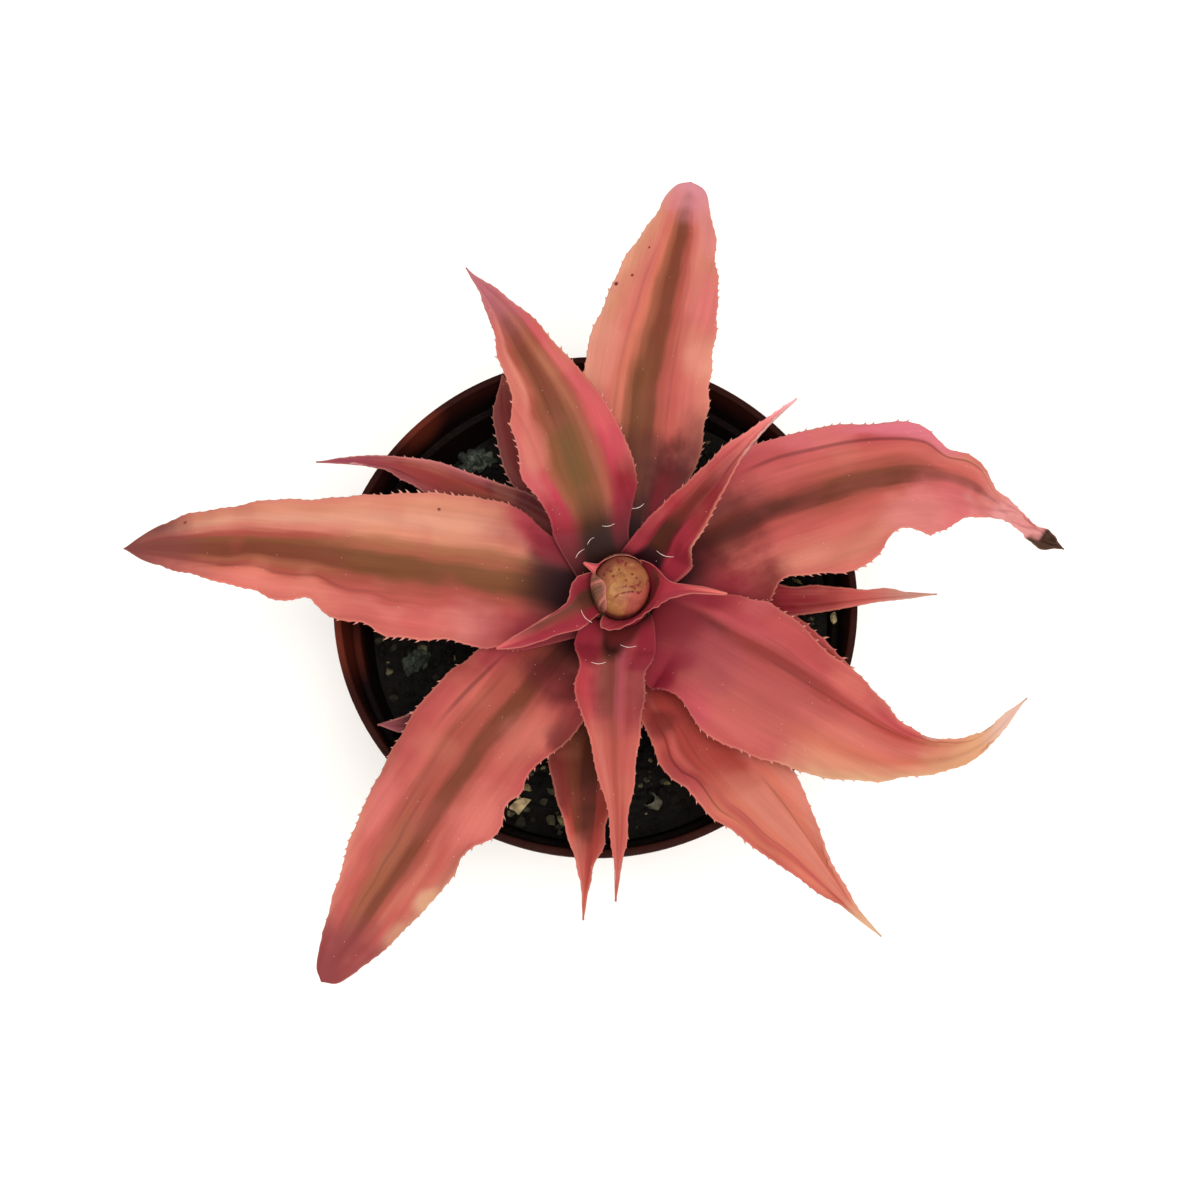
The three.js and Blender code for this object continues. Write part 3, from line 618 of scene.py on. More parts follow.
leaves = [{
    "name": "leaf_low_southwest", "facing": 208, "lift": (1.2, 1.2), "slot": "leaf_shaded",
    "spine": [[7.2, 0, 81.5], [20, 1.5, 85.5], [35, 2.5, 88.5], [45, 2.2, 91], [53.5, 0.2, 92.3]],
    "left": {0: 4.5, 15: 6, 40: 5.6, 70: 4.3, 90: 2.7, 100: 0},
    "right": {0: 4.5, 30: 4.2, 60: 3.7, 80: 2.1, 90: 0.7, 100: 0},
    "inner": {0: (86, 38, 42), 0.5: (74, 28, 30), 1: (86, 38, 42)},
    "outer": {0: (118, 58, 62), 0.5: (88, 42, 46), 1: (118, 58, 62)}, "tip": (126, 64, 70), "ruffle": 0.3,
}, {
    "name": "leaf_low_east", "facing": 340, "lift": (1.2, 1.2), "slot": "leaf_deep_pink",
    "spine": [[7.2, 0, 81.5], [14, 3.6, 84.7], [28, 3.7, 89], [40, 2.8, 93], [51.5, -2, 94.5]],
    "left": {0: 4.5, 20: 4, 50: 5.1, 62: 5, 75: 3, 90: 1.3, 100: 0},
    "right": {0: 4.5, 20: 5.1, 60: 6.4, 80: 5.5, 90: 3.7, 100: 0},
    "inner": {0: "brick", 0.5: "rust", 1: "brick"}, "outer": {0: "rose", 0.5: "brick", 1: "rose"},
    "tip": "salmon", "toothSize": 1.2, "toothSpacing": 2.2, "ruffle": 0.3,
}, {
    "name": "leaf_low_north", "facing": 122, "lift": (1.2, 1.2), "slot": "leaf_shaded",
    "spine": [[7.2, 0, 84], [16, -2, 86.5], [31, -0.6, 89.5], [45, -2, 92], [54, -5, 93.5]],
    "left": {0: 4.5, 20: 5.3, 45: 6.1, 70: 5.5, 80: 3.9, 90: 2.2, 100: 0},
    "right": {0: 4.5, 20: 5.8, 45: 6.2, 70: 5.1, 80: 4.3, 90: 2.6, 100: 0},
    "inner": {0: (122, 46, 52), 0.5: (96, 42, 40), 1: "maroon"},
    "outer": {0: (128, 66, 64), 0.25: (134, 60, 58), 0.5: (124, 50, 46), 1: "dusk"}, "tip": (126, 60, 52),
    "turnover": (0.4, 0.66), "toothSize": 1.0, "ruffle": 0.3,
}, {
    "name": "leaf_south_southwest", "facing": 263, "lift": (1.5, 1.5), "slot": "leaf_shaded",
    "spine": [[7.2, 0, 84.5], [17, -2, 88.5], [34.5, -2.3, 93.5], [50, -0.8, 97.5], [63.5, 0.6, 100]],
    "left": {0: 5, 15: 6.8, 40: 7.6, 50: 7, 60: 5.8, 70: 3.9, 80: 2.3, 90: 1, 100: 0},
    "right": {0: 5, 15: 7, 40: 7.5, 50: 7, 60: 5.5, 70: 3.8, 80: 1.9, 90: 0.6, 100: 0},
    "inner": {
        0: "brick", 0.14: "rust", 0.26: "rust", 0.34: "bark", 0.52: "bark", 0.62: "darkBrown", 0.76: "brown",
        0.86: "brick", 1: "coral",
    },
    "outer": {0: "coral", 0.2: "brick", 0.42: "brick", 0.55: "coral", 0.75: "salmon", 1: "salmon"},
    "turnover": (0.66, 0.84), "tip": (170, 80, 66), "tipFrom": (0.8, 1.0), "ruffle": 0.4, "toothSize": 0.55,
    "patches": [(0.92, 0.52, 0.24, 0.2, (104, 40, 38), 0.75)],
}, {
    "name": "leaf_east", "facing": 0, "lift": (1.2, 1.2), "slot": "leaf_deep_pink",
    "spine": [[7.2, 0, 84.5], [16, 1.6, 87.5], [33, 0, 92], [50, 0, 95], [62, 0, 96]],
    "left": {0: 5, 20: 4.5, 40: 3.5, 50: 3, 60: 2.4, 72: 1.7, 84: 0.9, 100: 0},
    "right": {0: 5, 20: 4.5, 40: 3.7, 60: 3, 72: 2.2, 80: 1.4, 100: 0},
    "inner": {0: (142, 50, 50), 0.4: (152, 52, 54), 0.85: (132, 40, 44), 1: (140, 46, 50)},
    "outer": {0: (206, 100, 92), 0.5: (200, 98, 92), 1: (204, 100, 94)}, "turnover": (0.55, 0.76),
    "tip": (166, 118, 106), "tipFrom": (0.72, 0.96), "toothSize": 0.4, "ruffle": 0.07,
    "patches": [(0.5, 0.42, 1.2, 0.3, (146, 38, 52), 0.55)],
}, {
    "name": "leaf_southeast", "facing": 307, "lift": (1.8, 1.8), "slot": "leaf_salmon",
    "spine": [
        [7.2, 0, 86.3], [13, -3, 89], [24, -5, 93.5], [43, -6, 97.5], [62, -3.6, 97.8], [73, -2.8, 96.4],
        [81, -1.5, 95],
    ],
    "left": {0: 5, 10: 7.6, 20: 9.8, 35: 11.3, 50: 10.7, 62: 8.7, 70: 5.7, 76: 3.9, 82: 2.5, 90: 1, 100: 0},
    "right": {
        0: 5, 10: 7.4, 25: 7.7, 31: 7.6, 36: 9.2, 40: 9, 44: 7.4, 52: 7.6, 57: 6.2, 64: 6.5, 70: 5.2, 76: 4.2,
        82: 2.9, 92: 1, 100: 0,
    },
    "inner": {
        0: "salmon", 0.1: "orangeSalmon", 0.24: "coral", 0.33: "brick", 0.6: "brick", 0.68: "brick",
        0.76: "coral", 0.84: "brick", 1: "coral",
    },
    "outer": {
        0: "peach", 0.1: "peach", 0.2: "orangeSalmon", 0.36: "peach", 0.5: "peach", 0.62: "orangeSalmon",
        0.76: "coral", 0.86: "orangeSalmon", 1: "coral",
    },
    "folds": [(0.26, 0.5, 0.86, 0.6), (0.7, 0.5, 0.8, 0.6), (0.86, 0.24, 0.62, 0.9), (0.62, 0.26, 0.5, 0.4)],
    "turnover": (0.4, 0.6), "tip": (190, 150, 118), "tipFrom": (0.86, 0.98), "channel": 0.2, "blotch": 0.3,
    "patches": [
        # The two dark patches near the root are painted shadow.
        (0.3, 0.16, 0.6, 0.09, (146, 38, 54), 0.8), (0.8, 0.27, 0.34, 0.05, (118, 36, 38), 0.7),
        (0.9, 0.42, 0.14, 0.1, (176, 74, 82), 0.6),
    ],
}, {
    "name": "leaf_west_northwest", "facing": 155, "lift": (1.5, 1.5), "slot": "leaf_shaded",
    "spine": [
        [7.2, 0, 88], [12, -4.5, 91], [22, -7.3, 94], [35, -6.8, 96], [48, -5.6, 97.2], [57, -3.2, 98],
        [66.5, 1.3, 98.5],
    ],
    "left": {0: 5, 15: 6.5, 30: 6.2, 50: 4.8, 65: 3.8, 72: 2.3, 78: 1.3, 85: 0.9, 100: 0},
    "right": {0: 4.5, 20: 3.9, 38: 3.8, 50: 3.3, 60: 3.4, 70: 2.6, 80: 1.5, 90: 0.8, 100: 0},
    "inner": {
        0: "dusk", 0.1: "brown", 0.35: "darkBrown", 0.5: "brown", 0.7: "rust", 0.85: "dusk", 1: "mauve",
    },
    "outer": {0: "dusk", 0.4: (152, 60, 60), 0.7: (152, 64, 60), 0.86: (160, 80, 76), 1: "mauve"},
    "tip": (132, 56, 72), "tipFrom": (0.68, 0.98), "ruffle": 0.3, "toothSize": 0.6,
    "patches": [
        # These dark patches are painted shade, where the leaf lies under its neighbours.
        (0.6, 0.2, 0.8, 0.2, (90, 34, 38), 0.85), (0.3, 0.36, 0.5, 0.16, (120, 52, 50), 0.6),
        (0.86, 0.37, 0.4, 0.14, (84, 30, 34), 0.8),
    ],
}, {
    "name": "leaf_east_northeast", "facing": 29, "lift": (2.5, 2.5), "slot": "leaf_salmon",
    "spine": [
        [7.2, 0, 88.2], [15, 1, 92.5], [29, 0.3, 96.5], [43, -2.3, 98.6], [56, -5.4, 98.8], [65, -9, 98],
        [72, -14.5, 96.5], [77, -22, 94], [84, -33.5, 90],
    ],
    "left": {
        0: 5, 10: 8.8, 20: 12.2, 35: 14.2, 50: 13.2, 60: 11.8, 65: 10.2, 69: 6.6, 73: 6.6, 76: 5.6, 80: 2,
        84: 2.2, 88: 1.7, 92: 0.7, 95: 1.4, 100: 0,
    },
    "right": {
        0: 5, 5: 9, 12: 15.3, 20: 16.6, 26: 14.4, 32: 14.1, 36: 14.7, 40: 16.6, 44: 17, 49: 14.9, 53: 12,
        58: 10.7, 64: 13.2, 67: 12.1, 71: 10, 76: 7.1, 80: 4.8, 84: 2.4, 90: 2, 95: 2.8, 100: 0,
    },
    "inner": {
        0: "pink", 0.1: "rose", 0.25: "coral", 0.34: "rosyBrown", 0.41: "brown", 0.46: "darkBrown",
        0.52: "darkBrown", 0.57: "rosyBrown", 0.65: "coral", 0.75: "salmon", 0.9: "peach", 1: "salmon",
    },
    "outer": {
        0: "salmon", 0.08: "peach", 0.15: "salmon", 0.28: "coral", 0.4: (158, 84, 74), 0.48: (148, 78, 68),
        0.55: "coral", 0.66: "salmon", 0.84: (220, 120, 118), 1: (224, 128, 124),
    },
    "folds": [
        (0.14, 0.26, 0.84, 1.0), (0.22, 0.3, 0.6, 0.3), (0.24, 0.78, 0.98, 0.8), (0.62, 0.8, 0.97, 0.4),
    ],
    "turnover": (0.58, 0.72), "far": (196, 128, 126), "farFrom": (0.76, 0.84), "tip": "withered",
    "tipFrom": (0.905, 0.925), "crumple": 0.78, "thickness": 0.9,
    "patches": [
        # The dark patches at 0.2 along and nearer the root are painted shadow, mostly of leaf_northeast; the
        # pink and pale ones are the leaf's own.
        (0.97, 0.2, 0.32, 0.12, (130, 38, 45), 0.85), (0.72, 0.13, 0.5, 0.08, (148, 50, 58), 0.8),
        (0.05, 0.46, 0.16, 0.12, (222, 120, 126), 0.7), (0.04, 0.62, 0.12, 0.14, (226, 128, 146), 0.8),
        (0.75, 0.7, 0.4, 0.14, (222, 118, 124), 0.7), (0.4, 0.3, 0.5, 0.16, (196, 84, 92), 0.3),
        (0.47, 0.26, 0.09, 0.2, (88, 46, 34), 0.85), (0.47, 0.52, 0.1, 0.12, (148, 80, 68), 0.5),
        (0.85, 0.62, 0.34, 0.13, (232, 142, 138), 0.8), (0.4, 0.2, 0.42, 0.15, (94, 40, 34), 0.75),
    ],
}, {
    "name": "leaf_southwest", "facing": 234, "lift": (2.2, 2.2), "slot": "leaf_salmon",
    "spine": [[7.2, 0, 90], [14, -3, 94], [31, -2.7, 98], [49, -2.5, 99], [70, -1.5, 97], [92, -1.6, 92]],
    "left": {
        0: 6, 5: 10, 12: 13.8, 25: 12.6, 33: 11, 40: 9.9, 44: 11.1, 48: 10.4, 52: 11.5, 55.5: 10.9, 59: 8.6,
        62.5: 8.1, 66: 9.4, 70: 9.1, 74: 8, 79: 7.4, 84: 6.8, 91: 5.3, 96: 3.6, 98.6: 2.3, 100: 0,
    },
    "right": {
        0: 6, 10: 7.3, 20: 11.5, 27: 13.3, 40: 14.7, 54: 13.4, 58: 12.8, 64: 12.3, 68: 11.4, 72: 11.3,
        76: 9.4, 80: 8.8, 85: 7.4, 90: 5.7, 95: 3.8, 98.6: 2, 100: 0,
    },
    "inner": {
        0: "rose", 0.12: "coral", 0.3: "coral", 0.4: "rosyBrown", 0.46: "brown", 0.54: "brown",
        0.6: "rosyBrown", 0.74: "rosyBrown", 0.8: "coral", 0.92: (188, 84, 82), 1: (172, 78, 74),
    },
    "outer": {
        0: (198, 132, 110), 0.1: (198, 112, 98), 0.2: "coral", 0.32: (206, 116, 102), 0.41: "rosyBrown",
        0.47: "brown", 0.53: "brown", 0.6: "tanBrown", 0.68: "tanBrown", 0.75: "rosyBrown", 0.83: "coral",
        0.92: "salmon", 1: "peach",
    },
    "folds": [(0.84, 0.18, 0.46, 1.0), (0.73, 0.2, 0.7, 0.35), (0.65, 0.5, 0.9, 0.4)],
    "turnover": (0.5, 0.72), "tip": (124, 54, 56), "tipFrom": (0.8, 0.96),
    "patches": [
        # The dark patches near the root and at the left margin near 0.28 along are painted shadows, of the
        # young leaves and of leaf_south; the pale and pink ones are the leaf's own.
        (0.32, 0.19, 0.5, 0.08, (104, 38, 42), 0.85), (0.25, 0.34, 0.3, 0.1, (214, 126, 112), 0.6),
        (0.04, 0.22, 0.14, 0.05, (204, 82, 92), 0.7), (0.02, 0.29, 0.14, 0.05, (118, 46, 44), 0.8),
        (0.18, 0.53, 0.34, 0.1, (226, 130, 120), 0.7), (0.05, 0.735, 0.17, 0.042, (220, 174, 140), 0.85),
        (0.05, 0.83, 0.18, 0.05, (204, 156, 128), 0.75), (0.9, 0.62, 0.12, 0.1, (226, 128, 122), 0.6),
        (0.88, 0.2, 0.14, 0.12, (168, 64, 78), 0.5), (0.04, 0.27, 0.2, 0.07, (126, 52, 50), 0.85),
    ],
}, {
    "name": "leaf_north", "facing": 80, "lift": (2.2, 2.2), "slot": "leaf_salmon",
    "spine": [[7.2, 0, 91], [15, 0.5, 94], [31, 1.5, 98.8], [48, 2.3, 101.8], [69, 1.3, 103], [90, 0.7, 102]],
    "left": {
        0: 5, 10: 8, 25: 11.2, 38: 12.6, 55: 12.5, 65: 11.2, 75: 9.7, 85: 6.9, 92: 5.2, 97: 3.5, 99.2: 2,
        100: 0,
    },
    "right": {
        0: 5, 10: 6.5, 18: 9.3, 27: 12.1, 38: 12.7, 44: 12.4, 50: 12.7, 56: 12, 61: 11.8, 65: 10.9, 69: 10.7,
        74: 9.5, 78: 8.3, 84: 8.1, 89: 6.4, 93: 5, 97: 3.9, 99.2: 2.3, 100: 0,
    },
    "inner": {
        0: "cream", 0.1: "peach", 0.18: "salmon", 0.3: "orangeSalmon", 0.36: "tanBrown", 0.42: (122, 74, 46),
        0.5: (130, 78, 50), 0.57: (128, 70, 48), 0.64: "rosyBrown", 0.73: "coral", 0.85: "salmon", 1: "peach",
    },
    "outer": {
        0: "cream", 0.1: "peachCream", 0.18: "peach", 0.27: "salmon", 0.35: "orangeSalmon", 0.42: "tanBrown",
        0.5: "brown", 0.57: "brown", 0.64: "rosyBrown", 0.72: "salmon", 0.8: "peach", 1: "peach",
    },
    "folds": [(0.27, 0.3, 0.85, 0.3), (0.7, 0.3, 0.85, 0.35)], "tip": (190, 122, 130), "tipFrom": (0.84, 1.0),
    "patches": [
        # The four dark patches first in the list are painted shadows, mostly of leaf_northeast; the pale and
        # pink ones and the tiny dark spots are the leaf's own marks.
        (0.5, 0.27, 0.5, 0.09, (100, 44, 38), 0.6), (0.85, 0.18, 0.5, 0.17, (70, 24, 26), 0.9),
        (0.97, 0.32, 0.22, 0.1, (126, 62, 54), 0.6), (0.3, 0.14, 0.4, 0.1, (112, 48, 46), 0.6),
        (0.1, 0.5, 0.2, 0.12, (230, 156, 138), 0.5), (0.93, 0.52, 0.24, 0.08, (232, 162, 140), 0.65),
        (0.92, 0.67, 0.24, 0.13, (222, 118, 120), 0.7), (0.9, 0.84, 0.2, 0.07, (226, 142, 142), 0.6),
        (0.14, 0.7, 0.02, 0.006, (112, 30, 28), 1.0), (0.03, 0.67, 0.025, 0.007, (96, 20, 24), 1.0),
        (0.18, 0.79, 0.016, 0.005, (140, 40, 36), 1.0),
    ],
}, {
    "name": "leaf_west", "facing": 175, "lift": (2.5, 2.2), "slot": "leaf_salmon",
    "spine": [[7.2, 0, 93], [15, -1, 97], [34, -1, 101], [52, -1.5, 102], [76, -2.5, 100], [99.5, -1.5, 94]],
    "left": {
        0: 6.5, 6: 12, 14: 15.6, 18: 15.6, 20: 16, 24: 15.1, 27: 14.4, 29: 14.8, 32: 15.8, 36: 15.4, 40: 15.9,
        44: 14, 48: 14.1, 51: 13.1, 54: 10.9, 56: 9.8, 60: 11, 64: 10.7, 68: 8.7, 71: 8.5, 76: 8.7, 80: 7.8,
        85: 6, 95: 2.6, 100: 0,
    },
    "right": {
        0: 6, 9: 8.5, 15: 13, 22: 14.5, 30: 14.5, 45: 12.6, 60: 10, 68: 8.7, 75: 7.7, 82: 6.6, 88: 5.5,
        94: 3.8, 100: 0,
    },
    "inner": {
        0: (208, 110, 102), 0.1: (212, 112, 106), 0.17: (222, 124, 116), 0.24: (200, 100, 92),
        0.32: "rosyBrown", 0.4: (128, 78, 50), 0.5: (132, 84, 54), 0.56: "tanBrown", 0.62: "oliveTan",
        0.71: "peachCream", 0.79: "cream", 0.92: "peachCream", 1: "peach",
    },
    "outer": {
        0: (222, 122, 112), 0.11: (228, 132, 120), 0.18: (222, 126, 110), 0.25: "rosyBrown", 0.33: "tanBrown",
        0.4: "brown", 0.5: "brown", 0.57: "olive", 0.65: "rosyBrown", 0.73: "peach", 0.82: "cream",
        0.92: "peachCream", 1: "peach",
    },
    "folds": [(0.24, 0.3, 0.85, 0.35)], "turnover": (0.44, 0.62), "tip": (112, 58, 56),
    "tipFrom": (0.74, 0.99), "blotch": 0.7, "toothSize": 0.9, "toothFade": (0.4, 0.65, 0.85), "baseEnd": 0.13,
    "flushEnd": 0.32,
    "patches": [
        # The dark patches at 0.12 and 0.07 along are painted shade, the shadow of young_leaf_southwest and
        # the shade at the root; the others are the leaf's own marks.
        (0.14, 0.23, 0.25, 0.07, (220, 136, 128), 0.7), (0.94, 0.13, 0.24, 0.08, (204, 80, 98), 0.85),
        (0.89, 0.33, 0.018, 0.006, (96, 40, 30), 1.0), (0.88, 0.86, 0.03, 0.006, (110, 44, 34), 1.0),
        (0.12, 0.34, 0.16, 0.05, (206, 98, 96), 0.6), (0.08, 0.12, 0.24, 0.05, (156, 62, 68), 0.6),
        (0.8, 0.07, 0.4, 0.1, (84, 30, 34), 0.9),
    ],
}, {
    "name": "leaf_east_southeast", "facing": 332, "lift": (2.5, 2.5), "slot": "leaf_salmon",
    "spine": [
        [7.2, 0, 93.5], [14, 1.5, 97], [26, 0, 101], [42, -1, 102], [58, -1.5, 101], [66.5, 0.3, 100],
        [73, 4.8, 100], [77.7, 16, 102],
    ],
    "left": {
        0: 5.5, 10: 6, 20: 9, 28: 9.6, 34: 9.2, 40: 7.2, 50: 6.5, 60: 4.3, 68: 2, 80: 1.5, 90: 1, 100: 0,
    },
    "right": {
        0: 7, 4: 12, 8: 16, 20: 15.8, 30: 18.5, 42: 17.2, 55: 14.6, 65: 10.6, 70: 7.6, 80: 3.7, 88: 1.6,
        95: 0.6, 100: 0,
    },
    "inner": {
        0: (186, 84, 84), 0.1: (190, 84, 84), 0.28: (192, 84, 86), 0.36: (176, 80, 78), 0.43: (156, 64, 60),
        0.49: (154, 66, 62), 0.56: (180, 84, 82), 0.66: (190, 94, 92), 0.76: (202, 106, 100),
        0.9: (204, 104, 100), 1: (198, 94, 92),
    },
    "outer": {
        0: "coral", 0.2: "rose", 0.34: "rose", 0.42: "brick", 0.5: "brick", 0.56: "coral", 0.66: "salmon",
        0.78: "orangeSalmon", 0.9: "peachCream", 1: "tan",
    },
    "folds": [(0.5, 0.3, 0.82, 0.5), (0.3, 0.25, 0.6, 0.25)], "base": (112, 34, 42), "baseEnd": 0.12,
    "turnover": (0.38, 0.58), "far": (190, 138, 104), "farFrom": (0.7, 0.84), "tip": (196, 160, 146),
    "tipFrom": (0.84, 0.97), "blotch": 0.4,
    "patches": [
        # The dark crimson patch at the left margin near the root, at 0.12 across and 0.13 along, is painted
        # shade beside leaf_south.
        (0.42, 0.12, 0.14, 0.12, (106, 48, 44), 0.8), (0.75, 0.12, 0.5, 0.09, (156, 64, 72), 0.7),
        (0.93, 0.14, 0.16, 0.05, (150, 30, 62), 0.9), (0.95, 0.24, 0.16, 0.06, (204, 88, 104), 0.6),
        (0.12, 0.13, 0.24, 0.06, (150, 52, 62), 0.7), (0.05, 0.22, 0.2, 0.06, (212, 110, 114), 0.6),
        (0.2, 0.52, 0.24, 0.08, (220, 118, 106), 0.7), (0.66, 0.2, 0.3, 0.12, (172, 82, 92), 0.55),
        (0.3, 0.2, 0.14, 0.14, (206, 92, 104), 0.5),
    ],
}, {
    "name": "leaf_north_northwest", "facing": 116, "lift": (2.2, 2.2), "slot": "leaf_salmon",
    "spine": [[7.2, 0, 95.2], [16, -2, 101], [32, -4, 108], [48, -3, 111], [60, -2, 111], [71, -0.3, 110]],
    "left": {
        0: 6, 10: 8.8, 17: 8.8, 23: 10.1, 30: 11.9, 37: 11.4, 46: 10.7, 49: 10.2, 52: 8.7, 56: 7, 60: 6.4,
        65: 6.1, 69: 5.9, 76: 3.6, 82: 1.9, 88: 1.3, 95: 0.7, 100: 0,
    },
    "right": {
        0: 6, 8: 5.5, 14: 7.5, 20: 9.7, 30: 9.5, 40: 8.8, 50: 7.5, 65: 5.8, 75: 4.6, 85: 2.8, 95: 0.6, 100: 0,
    },
    "inner": {
        0: "pink", 0.1: "pink", 0.17: "magenta", 0.24: "tanBrown", 0.33: "olive", 0.42: "leafOlive",
        0.52: "leafOlive", 0.59: "olive", 0.66: "tanBrown", 0.73: "rosyBrown", 0.81: "magenta",
        0.92: "magenta", 1: "rose",
    },
    "outer": {
        0: "salmon", 0.1: "salmon", 0.17: "peach", 0.25: "rosyBrown", 0.33: (150, 86, 62), 0.42: "brown",
        0.51: "brown", 0.58: (156, 90, 64), 0.65: (178, 108, 80), 0.72: "tanBrown", 0.78: "rosyBrown",
        0.85: "pink", 1: "coral",
    },
    "folds": [(0.57, 0.45, 0.85, 0.35), (0.42, 0.4, 0.9, 0.3)], "turnover": (0.36, 0.56),
    "tip": (166, 96, 104), "tipFrom": (0.66, 0.98), "base": (36, 12, 8), "baseEnd": 0.17,
    "patches": [
        # The near-black patch at the root is painted shade.
        (0.05, 0.15, 0.26, 0.12, (172, 46, 64), 0.8), (0.95, 0.2, 0.3, 0.11, (142, 34, 44), 0.9),
        (0.87, 0.08, 0.42, 0.11, (38, 12, 10), 0.9), (0.16, 0.1, 0.26, 0.07, (188, 66, 76), 0.7),
        (0.14, 0.38, 0.2, 0.12, (220, 138, 120), 0.7), (0.88, 0.42, 0.18, 0.1, (222, 104, 104), 0.6),
    ],
}, {
    "name": "leaf_south", "facing": 269, "lift": (1.8, 1.8), "slot": "leaf_salmon",
    "spine": [[7.2, 0, 96.5], [17, -1, 102.5], [33, -1.2, 108], [50, -0.1, 110.8], [61, -0.3, 111.5]],
    "left": {0: 6.5, 7: 7.3, 15: 7, 21: 5.7, 27: 5.7, 35: 5.6, 50: 4.7, 65: 3.1, 80: 1.6, 100: 0},
    "right": {0: 6, 8: 8, 14: 8, 20: 6.6, 28: 7.1, 40: 5.9, 50: 4, 60: 2.5, 75: 1.2, 90: 0.5, 100: 0},
    "inner": {
        0: (152, 60, 70), 0.15: (158, 57, 70), 0.3: (174, 72, 82), 0.4: (184, 88, 98), 0.48: (170, 84, 90),
        0.53: (142, 73, 66), 0.68: (146, 73, 68), 0.78: (170, 68, 76), 0.88: (198, 74, 82), 1: (192, 70, 78),
    },
    "outer": {0: "coral", 0.35: "coral", 0.5: "rosyBrown", 0.66: "coral", 0.8: "salmon", 1: "coral"},
    "base": (88, 30, 30), "baseEnd": 0.07, "turnover": (0.32, 0.5), "tip": (164, 74, 68),
    "tipFrom": (0.75, 0.98), "ruffle": 0.4, "toothSize": 0.6, "toothFade": (0.3, 0.7, 0.25),
    "patches": [
        # The near-black patch at the root is painted shade.
        (0.56, 0.08, 0.22, 0.12, (50, 22, 20), 0.95), (0.85, 0.15, 0.24, 0.07, (122, 34, 42), 0.8),
        (0.15, 0.14, 0.25, 0.06, (188, 72, 82), 0.6),
    ],
}, {
    "name": "leaf_northeast", "facing": 48, "lift": (3, 4), "slot": "leaf_deep_pink",
    "spine": [[7.2, 0, 97.2], [13.5, 0.5, 104.5], [24.5, -1, 113], [34, -2.5, 119], [43, -4.5, 124]],
    "left": {0: 6, 10: 4.6, 25: 3.2, 40: 2.7, 55: 3, 66: 2.4, 78: 1.3, 88: 0.7, 100: 0},
    "right": {0: 6, 10: 8.5, 20: 7, 35: 5.3, 50: 4.1, 65: 2.1, 80: 0.6, 100: 0},
    "inner": {
        0: "rose", 0.17: "rose", 0.27: "wine", 0.36: "bark", 0.6: "bark", 0.66: "maroon", 0.73: "crimson",
        0.94: "crimson", 1: "peach",
    },
    "outer": {
        0: (178, 60, 70), 0.14: (180, 62, 72), 0.26: (168, 62, 66), 0.36: (142, 58, 54), 0.6: (120, 47, 42),
        0.67: (150, 62, 62), 0.75: (162, 58, 64), 0.92: (156, 50, 58), 1: "coral",
    },
    "turnover": (0.22, 0.36), "far": (200, 106, 102), "farFrom": (0.44, 0.84), "tip": (232, 160, 170),
    "tipFrom": (0.78, 1.0), "ruffle": 0.2, "baseEnd": 0.08,
}]


def bladeSheet(leaf, at, across, squeeze):
    spine = np.array(leaf["spine"], float)
    run = np.concatenate([[0], np.cumsum(np.linalg.norm(np.diff(spine, axis=0), axis=1))])
    rows = np.column_stack([100 * run / run[-1], spine])
    centre = curveAt(rows, at)
    ahead, behind = curveAt(rows, np.minimum(at + 1, 100)), curveAt(rows, np.maximum(at - 1, 0))
    heading = np.arctan2(ahead[:, 1] - behind[:, 1], ahead[:, 0] - behind[:, 0])
    leftward = np.stack([-np.sin(heading), np.cos(heading)], 1)
    outlines = [[*leaf[side].items()] for side in ("left", "right")]
    leftHalf, rightHalf = (np.maximum(curveAt(outline, at), blade["narrowest"]) for outline in outlines)
    onLeft = across >= 0
    half = np.where(onLeft, leftHalf, rightHalf) * across
    half = half - np.sign(across) * squeeze * smoothStep(np.abs(across), 0.72, 1.0)
    flat = centre[:, None, :2] + half[..., None] * leftward[:, None, :]
    turn = half / stem["leafRoot"]
    wrapped = stem["leafRoot"] * np.stack([np.cos(turn), np.sin(turn)], 2)
    clasp = smoothStep(blade["clasp"] - at, 0, blade["clasp"])[:, None, None]
    lift = np.where(onLeft, leaf["lift"][0], leaf["lift"][1]) * (0.15 + 0.85 * smoothStep(at, 0, 22))[:, None]
    lift = lift * ((1 - at / 100) ** 0.8)[:, None] * across ** 2
    height = centre[:, 2][:, None] + lift
    plan = flat + (wrapped - flat) * clasp
    return np.dstack([plan, height]), half


